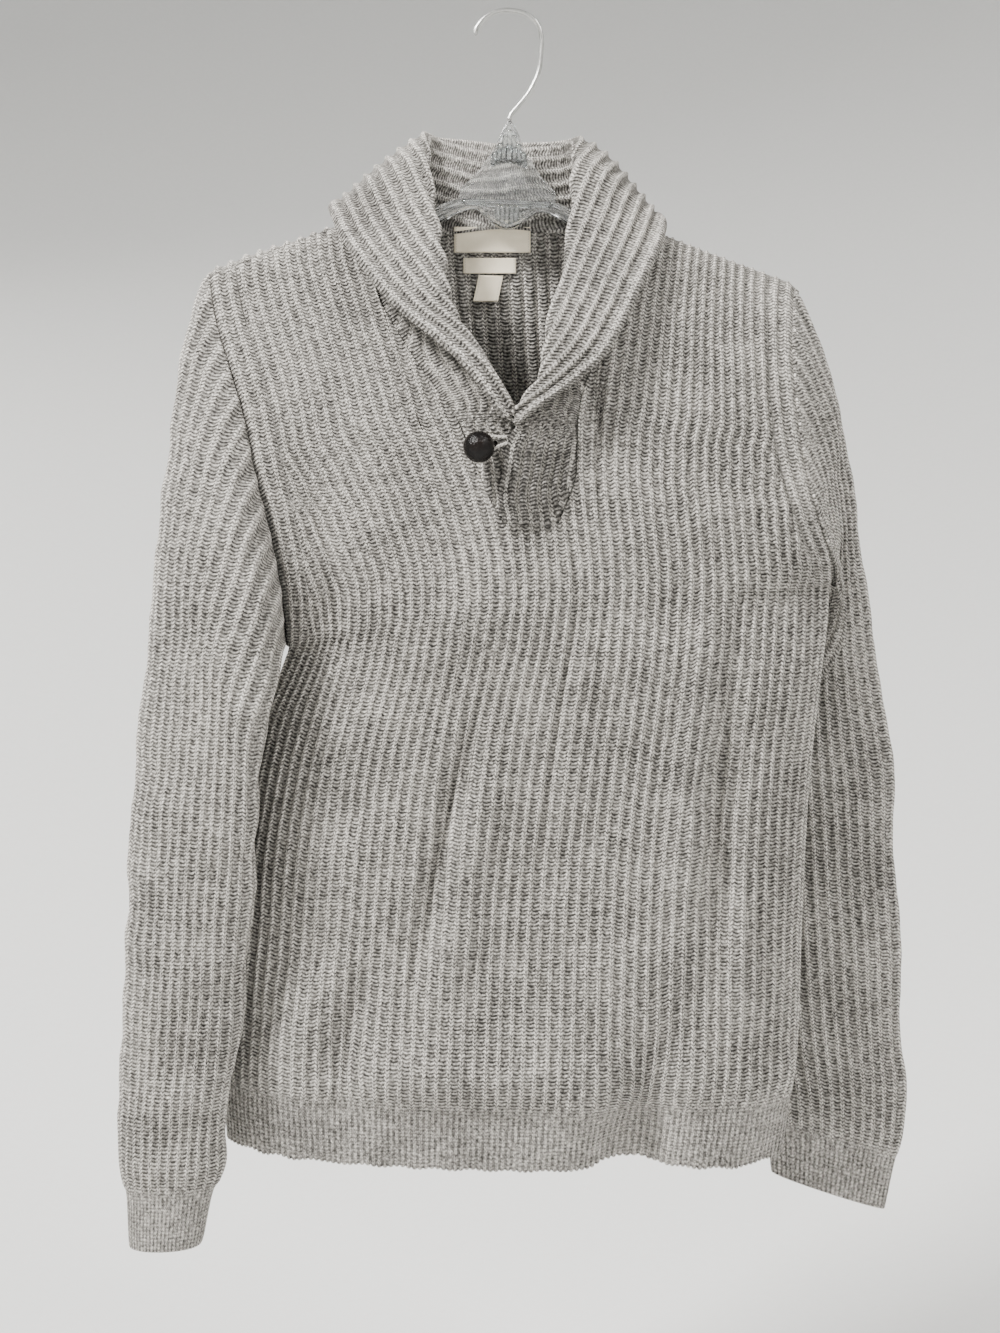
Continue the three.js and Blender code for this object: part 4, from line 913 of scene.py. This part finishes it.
def hanger_piece(finish):
    """The clear hanger: bars whose section is a thin web between two rims, carried outwards
    along their tables: the arms with the tongue between them, the crown, and the plate that
    joins these. Half-round ribs are moulded on both faces: a fan of upright ones on the crown
    and the tongue, and a level one between them."""
    bodies = []
    side, upper, inset = HANGER_SECTION.T
    for table, count in ((HANGER_ARMS, 181), (HANGER_CROWN, 41), (HANGER_PLATE, 41)):
        share = np.linspace(-1, 1, count)
        x = table[-1, 0] * np.sign(share) * np.abs(share) ** 1.25
        _, top, bottom, rim, thick = [column[:, None] for column in rows_at(table, np.abs(x)).T]
        z = bottom + (top - bottom) * upper + rim * inset * (1 - 2 * upper)
        y = side * ARM_HALF_THICK * thick
        bodies.append(np.stack(np.broadcast_arrays(x[:, None], y, z), axis=-1))
    for face in (-1, 1):
        for start, end in HANGER_RIBS:
            y = face * RIB_STANDS
            line = np.linspace([start[0], y, start[1]], [end[0], y, end[1]], 24)
            up = (0, 0, 1) if start[1] == end[1] else (0, 1, 0)
            bodies.append(tube(line, rounded_ends(line, RIB_RADIUS), 14, up))
    piece = ring_piece("clear_hanger", [hung(body) for body in bodies], finish)
    piece.data.set_sharp_from_angle(angle=math.radians(CREASE_ANGLE))
    return piece


# ---- materials ----
def linear(code):
    """An sRGB hex colour as linear red, green, blue and a full alpha."""
    channels = np.array([int(code[k : k + 2], 16) for k in (1, 3, 5)]) / 255
    channels = np.where(channels <= 0.04045, channels / 12.92, ((channels + 0.055) / 1.055) ** 2.4)
    return (*channels, 1.0)


def fill(material, socket, value):
    """Another node's result is linked to a socket; a number or a tuple sets it."""
    if isinstance(value, bpy.types.NodeSocket):
        material.node_tree.links.new(value, socket)
    else:
        socket.default_value = value


def node(material, kind, *inputs, out=0, **settings):
    """Adds a shader node of a kind, which may be followed by its operation. Settings are the
    node's own properties or, with their spaces as underscores, its sockets. The inputs fill
    the sockets in use, in order. Returns the result named or numbered out."""
    kind, *operation = kind.split()
    made = material.node_tree.nodes.new("ShaderNode" + kind)
    for name in operation:
        made.operation = name
    for name, value in settings.items():
        if hasattr(made, name):
            setattr(made, name, value)
        else:
            fill(material, made.inputs[name.replace("_", " ")], value)
    for socket, value in zip([socket for socket in made.inputs if socket.enabled], inputs):
        fill(material, socket, value)
    if isinstance(out, str):
        return made.outputs[out]
    return [socket for socket in made.outputs if socket.enabled][out]


def wear(material, **sockets):
    """Fills sockets of a material's shader, named with their spaces as underscores."""
    shader = material.node_tree.nodes["Principled BSDF"]
    for name, value in sockets.items():
        fill(material, shader.inputs[name.replace("_", " ")], value)
    return material


def finish_of(name, **constants):
    """A new material whose shader's constant sockets are set."""
    material = bpy.data.materials.new(name)
    material.use_nodes = True
    return wear(material, **constants)


def stitches(m, u, v, ridge, tilt, bow):
    """The relief of rib knitting at (u, v), counted in ribs and rows: on the ridge two legs of
    each stitch lean together in a V, in the valley each row is a sagging arc. Returns it and
    the share of the ridge."""
    off = node(m, "Math ABSOLUTE", node(m, "Math SUBTRACT", node(m, "Math FRACT", u), 0.5))
    on_ridge = node(m, "Math SUBTRACT", ridge + RIDGE_BLUR / 2, off)
    on_ridge = node(m, "Math DIVIDE", on_ridge, RIDGE_BLUR, use_clamp=True)
    legs = node(m, "Math MULTIPLY", node(m, "Math MULTIPLY_ADD", off, -tilt, v), 2 * math.pi)
    legs = node(m, "Math MULTIPLY_ADD", node(m, "Math COSINE", legs), 0.5, 0.5)
    split = node(m, "Math DIVIDE", off, LEG_SPLIT, use_clamp=True)
    legs = node(m, "Math MULTIPLY", legs, node(m, "Math MULTIPLY_ADD", split, 0.6, 0.4))
    from_valley = node(m, "Math SUBTRACT", 0.5, off)
    squared = node(m, "Math MULTIPLY", from_valley, from_valley)
    arcs = node(m, "Math MULTIPLY", node(m, "Math MULTIPLY_ADD", squared, -bow, v), 2 * math.pi)
    arcs = node(m, "Math MULTIPLY_ADD", node(m, "Math COSINE", arcs), 0.5, 0.5)
    apart = node(m, "Math SUBTRACT", legs, arcs)
    return node(m, "Math MULTIPLY_ADD", apart, on_ridge, arcs), on_ridge


def rib_knit():
    """Soft carded yarn of mixed greys, knitted in a half cardigan rib and brushed: matt, with
    a pale bloom at grazing angles, and painted shade darkening the hollows."""
    m = finish_of(
        "brushed_heather_rib_knit", Roughness=0.92, IOR=1.45, Specular_IOR_Level=0.25,
        Sheen_Weight=0.35, Sheen_Roughness=0.55, Sheen_Tint=linear("#E8E4DC"),
    )
    uv = node(m, "UVMap", uv_map="UVMap")
    place = node(m, "TexCoord", out="Object")
    # uneven tension: each stitch sits a little off its row and column
    stray = node(m, "TexNoise", uv, Scale=1.7, Detail=2.0, Roughness=0.6, out="Color")
    stray = node(m, "VectorMath SUBTRACT", stray, (0.5, 0.5, 0.5))
    stray = node(m, "VectorMath MULTIPLY", stray, STITCH_STRAY)
    moved = node(m, "VectorMath ADD", uv, stray)
    u, v, _ = node(m, "SeparateXYZ", moved).node.outputs
    wide, wide_ridge = stitches(m, u, v, ridge=0.17, tilt=3.2, bow=4.2)
    twice = node(m, "Math MULTIPLY", u, 2.0)
    fine, fine_ridge = stitches(m, twice, v, ridge=0.24, tilt=2.2, bow=3.2)
    welt = node(m, "Attribute", attribute_name="welt", out="Fac")
    relief = node(m, "Math MULTIPLY_ADD", node(m, "Math SUBTRACT", fine, wide), welt, wide)
    ridge = node(m, "Math SUBTRACT", fine_ridge, wide_ridge)
    ridge = node(m, "Math MULTIPLY_ADD", ridge, welt, wide_ridge)
    # the heather: fibres of several greys carded together, about 0.6 mm apart
    fleck = node(m, "TexNoise", place, Scale=560.0, Detail=2.0, Roughness=0.6)
    cloud = node(m, "TexNoise", place, Scale=22.0, Detail=3.0, Roughness=0.55)
    pile = node(m, "TexNoise", place, Scale=320.0, Detail=4.0, Roughness=0.65)
    melange = node(m, "Mapping", uv, Scale=(1.3, 0.32, 1.0))
    melange = node(m, "TexNoise", melange, Scale=1.0, Detail=3.0, Roughness=0.6)
    # the rows show plainly on the wide ribs and less in the welt; the tone is low in the valleys
    # and between the rows and high on the ridges, partly the yarn's own look and partly painted
    # shade
    strength = node(m, "Math MULTIPLY_ADD", ridge, 0.12, 0.42)
    strength = node(m, "Math MULTIPLY_ADD", welt, -0.3, strength)
    tone = node(m, "Math MULTIPLY_ADD", welt, 0.14, 0.22)
    tone = node(m, "Math MULTIPLY_ADD", relief, strength, tone)
    paler = node(m, "Math MULTIPLY_ADD", welt, -0.02, 0.17)
    tone = node(m, "Math MULTIPLY_ADD", ridge, paler, tone)
    # painted shade in the valleys, as strong as the piece's mark asks; only the collar carries that
    # mark
    painted_hollow_shade = node(m, "Attribute", attribute_name="painted_hollow_shade", out="Fac")
    valley_shade = node(m, "Math MULTIPLY", painted_hollow_shade, node(m, "Math SUBTRACT", 1.0, ridge))
    tone = node(m, "Math MULTIPLY_ADD", valley_shade, -0.06, tone)
    for source, share in ((fleck, 1.3), (pile, 0.6), (melange, 0.4), (cloud, 0.4)):
        tone = node(m, "Math MULTIPLY_ADD", node(m, "Math SUBTRACT", source, 0.5), share, tone)
    tone = node(m, "Math POWER", node(m, "Math MAXIMUM", tone, 0.0), 1.9)
    tone = node(m, "Math MINIMUM", tone, 1.0)
    colour = node(m, "Mix", tone, linear(YARN_DARK), linear(YARN_LIGHT), data_type="RGBA")
    height = node(m, "Math MULTIPLY_ADD", pile, 0.55, relief)
    bump = node(m, "Bump", Height=height, Strength=1.0, Distance=0.0009)
    return wear(m, Base_Color=colour, Normal=bump)


def satin_weave():
    """Woven polyester satin, heat-cut and hemmed: fine warp threads with a soft streaked
    gloss, a hem line of small stitches near each end."""
    m = finish_of(
        "woven_satin_label", IOR=1.5, Specular_IOR_Level=0.5, Sheen_Weight=0.1, Anisotropic=0.5
    )
    uv = node(m, "UVMap", uv_map="UVMap")
    x, y, _ = node(m, "SeparateXYZ", uv).node.outputs
    end = node(m, "Attribute", attribute_name="from_end", out="Fac")
    warp = node(m, "Math COSINE", node(m, "Math MULTIPLY", x, 2 * math.pi / WARP_SPACING))
    weft = node(m, "Math COSINE", node(m, "Math MULTIPLY", y, 2 * math.pi / WEFT_SPACING))
    weave = node(m, "Math MULTIPLY_ADD", node(m, "Math MULTIPLY", warp, weft), 0.3, 0.5)
    noise = node(m, "TexNoise", uv, Scale=0.35, Detail=4.0, Roughness=0.6)
    off_line = node(m, "Math ABSOLUTE", node(m, "Math SUBTRACT", end, HEM_LINE))
    off_line = node(m, "Math DIVIDE", off_line, SEWING_THREAD, use_clamp=True)
    seam = node(m, "Math SUBTRACT", 1.0, off_line)
    dash = node(m, "Math FRACT", node(m, "Math DIVIDE", y, SEWING_STITCH))
    stitch = node(m, "Math MULTIPLY", seam, node(m, "Math GREATER_THAN", dash, 0.35))
    tone = node(m, "Math SUBTRACT", noise, 0.5)
    tone = node(m, "Math MULTIPLY_ADD", tone, 0.6, weave, use_clamp=True)
    colour = node(m, "Mix", tone, linear("#E2D5B8"), linear("#F6ECD8"), data_type="RGBA")
    sewn = node(m, "Math MULTIPLY", stitch, 0.7)
    colour = node(m, "Mix", sewn, colour, linear("#A79F92"), data_type="RGBA")
    roughness = node(m, "Math MULTIPLY_ADD", weave, 0.2, 0.38)
    height = node(m, "Math MULTIPLY_ADD", stitch, -1.2, weave)
    bump = node(m, "Bump", Height=height, Strength=0.4, Distance=0.0002)
    return wear(m, Base_Color=colour, Roughness=roughness, Normal=bump)


def button_leather():
    """Drum-dyed goat leather, aniline finished: near black brown with a fine pebbled grain,
    a soft gloss, and patches here and there that are rubbed lighter, browner and a little rougher."""
    m = finish_of("aniline_goat_leather", IOR=1.45, Specular_IOR_Level=0.22)
    place = node(m, "TexCoord", out="Object")
    # the grain's pebbles are about 0.9 mm across
    pebbles = node(m, "TexVoronoi", place, feature="DISTANCE_TO_EDGE", Scale=1100.0)
    folds = node(m, "TexNoise", place, Scale=260.0, Detail=6.0, Roughness=0.6)
    rubbed = node(m, "TexNoise", place, Scale=110.0, Detail=3.0, Roughness=0.5)
    grain = node(m, "Math MULTIPLY", pebbles, 3.0, use_clamp=True)
    tone = node(m, "Math MULTIPLY_ADD", grain, 0.5, 0.15)
    colour = node(m, "Mix", tone, linear("#030202"), linear("#0F0B0A"), data_type="RGBA")
    browner = node(m, "Math SUBTRACT", rubbed, 0.5, use_clamp=True)
    browner = node(m, "Math MULTIPLY", browner, 1.6, use_clamp=True)
    colour = node(m, "Mix", browner, colour, linear("#1F1612"), data_type="RGBA")
    roughness = node(m, "Math MULTIPLY_ADD", rubbed, 0.25, 0.08)
    height = node(m, "Math MULTIPLY_ADD", folds, 0.8, grain)
    bump = node(m, "Bump", Height=height, Strength=0.35, Distance=0.0003)
    return wear(m, Base_Color=colour, Roughness=roughness, Normal=bump)


def clear_styrene():
    """Injection-moulded crystal polystyrene: water clear and glassy with faint flow lines
    and a little handling haze."""
    m = finish_of("moulded_crystal_polystyrene", IOR=1.59, Transmission_Weight=0.98)
    place = node(m, "TexCoord", out="Object")
    haze = node(m, "TexNoise", place, Scale=60.0, Detail=5.0, Roughness=0.6)
    roughness = node(m, "Math MULTIPLY_ADD", haze, 0.05, 0.0)
    colour = node(m, "Mix", haze, linear("#F7FBFB"), linear("#FFFFFF"), data_type="RGBA")
    flow = node(m, "TexNoise", place, Scale=35.0, Detail=1.0)
    bump = node(m, "Bump", Height=flow, Strength=0.15, Distance=0.001)
    return wear(m, Base_Color=colour, Roughness=roughness, Normal=bump)


def drawn_steel():
    """Drawn steel wire, bright zinc plated: a satin grey metal with fine lines left along it
    by the die and small dull spots."""
    m = finish_of("zinc_plated_steel_wire", Metallic=1.0)
    place = node(m, "TexCoord", out="Object")
    stretched = node(m, "Mapping", place, Scale=(1800.0, 1800.0, 90.0))
    lines = node(m, "TexNoise", stretched, Scale=1.0, Detail=3.0)
    spots = node(m, "TexNoise", place, Scale=420.0, Detail=4.0, Roughness=0.7)
    colour = node(m, "Mix", spots, linear("#8E8E8C"), linear("#D2D2CF"), data_type="RGBA")
    roughness = node(m, "Math MULTIPLY_ADD", spots, 0.25, 0.2)
    bump = node(m, "Bump", Height=lines, Strength=0.2, Distance=0.0001)
    return wear(m, Base_Color=colour, Roughness=roughness, Normal=bump)


def brushed_yarn():
    """The sweater's own yarn, two strands twisted hard: matt, with stray lighter fibres."""
    m = finish_of(
        "twisted_heather_yarn", Roughness=0.9, Specular_IOR_Level=0.25, Sheen_Weight=0.35
    )
    place = node(m, "TexCoord", out="Object")
    fibres = node(m, "TexNoise", place, Scale=1600.0, Detail=4.0, Roughness=0.7)
    colour = node(m, "Mix", fibres, linear("#7C7670"), linear("#D6D2CA"), data_type="RGBA")
    bump = node(m, "Bump", Height=fibres, Strength=0.5, Distance=0.0003)
    return wear(m, Base_Color=colour, Normal=bump)


def painted_wall():
    """Matt emulsion on smooth plaster: an even pale backdrop with a trace of roller texture."""
    m = finish_of("matt_studio_backdrop", Roughness=0.85, Specular_IOR_Level=0.2)
    place = node(m, "TexCoord", out="Object")
    roller = node(m, "TexNoise", place, Scale=120.0, Detail=3.0)
    colour = node(m, "Mix", roller, linear("#E6E6E4"), linear("#ECECEA"), data_type="RGBA")
    return wear(m, Base_Color=colour)


# ---- the camera, first ----
lens = bpy.data.cameras.new("view")
lens.lens, lens.sensor_width, lens.clip_start, lens.clip_end = 46.88, 36, 0.05, 50
camera = bpy.data.objects.new("view", lens)
camera.location = (-0.0065, -1.25, -0.388)
camera.rotation_euler = (math.radians(86.6), 0, 0)
bpy.context.collection.objects.link(camera)
bpy.context.scene.camera = camera

# ---- the pieces ----
knit = rib_knit()
satin = satin_weave()
leather = button_leather()

front = body_panel("front_panel", -1, knit)
back = body_panel("back_panel", 1, knit)
left_sleeve = sleeve_piece("left_sleeve", ARMHOLE_LEFT, SLEEVE_LEFT, -1, knit)
right_sleeve = sleeve_piece("right_sleeve", ARMHOLE_RIGHT, SLEEVE_RIGHT, 1, knit)
shawl = collar_piece("shawl_collar", knit)
labels = {
    name: label_piece(name + "_label", width, height, x, top, shear, curl, satin)
    for name, (width, height, x, top, shear, curl) in LABELS.items()
}
button = button_piece(leather)
loop = loop_piece(brushed_yarn())
hanger = hanger_piece(clear_styrene())
hook = hook_piece(drawn_steel())

for piece, cad_node, finish_slot in [
    (front, "front", "knit"),
    (back, "back", "knit"),
    (left_sleeve, "sleeve_left", "knit"),
    (right_sleeve, "sleeve_right", "knit"),
    (shawl, "collar", "knit"),
    (labels["main"], "label_main", "label_satin"),
    (labels["small"], "label_small", "label_satin"),
    (labels["care"], "label_care", "label_satin"),
    (button, "button", "button_leather"),
    (loop, "button_loop", "knit"),
    (hanger, "hanger", "clear_plastic"),
    (hook, "hanger_hook", "hook_steel"),
]:
    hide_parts(cad_node)
    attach(piece, "root")

# ---- stage and light ----
turns = np.linspace(0, 2 * np.pi, BOWL_SIDES + 1)[:-1]
ring, turn = np.meshgrid(np.linspace(0, 1, BOWL_RINGS), turns, indexing="ij")
reach = 0.0001 + BOWL_RADIUS * ring
rise = BOWL_FLOOR + BOWL_CURL * np.maximum(reach - BOWL_FLAT, 0) ** 2
bowl = np.stack([reach * np.cos(turn), reach * np.sin(turn), rise], axis=-1) / MM
bowl_faces = ring_faces(BOWL_RINGS, BOWL_SIDES)[:, ::-1]
backdrop = mesh_piece("studio_bowl", bowl.reshape(-1, 3), bowl_faces, painted_wall())

for name, place, target, size, power, spread in LIGHTS:
    lamp = bpy.data.lights.new(name, "AREA")
    lamp.size, lamp.energy, lamp.color = size, power, LAMP_COLOUR
    lamp.spread = math.radians(spread)
    light = bpy.data.objects.new(name, lamp)
    light.location = place
    away = Vector(place) - Vector(target)
    light.rotation_euler = away.to_track_quat("Z", "Y").to_euler()
    bpy.context.collection.objects.link(light)
world = bpy.data.worlds.new("soft_room")
world.use_nodes = True
room = world.node_tree.nodes["Background"].inputs
room["Color"].default_value, room["Strength"].default_value = linear(ROOM_COLOUR), ROOM_STRENGTH
bpy.context.scene.world = world
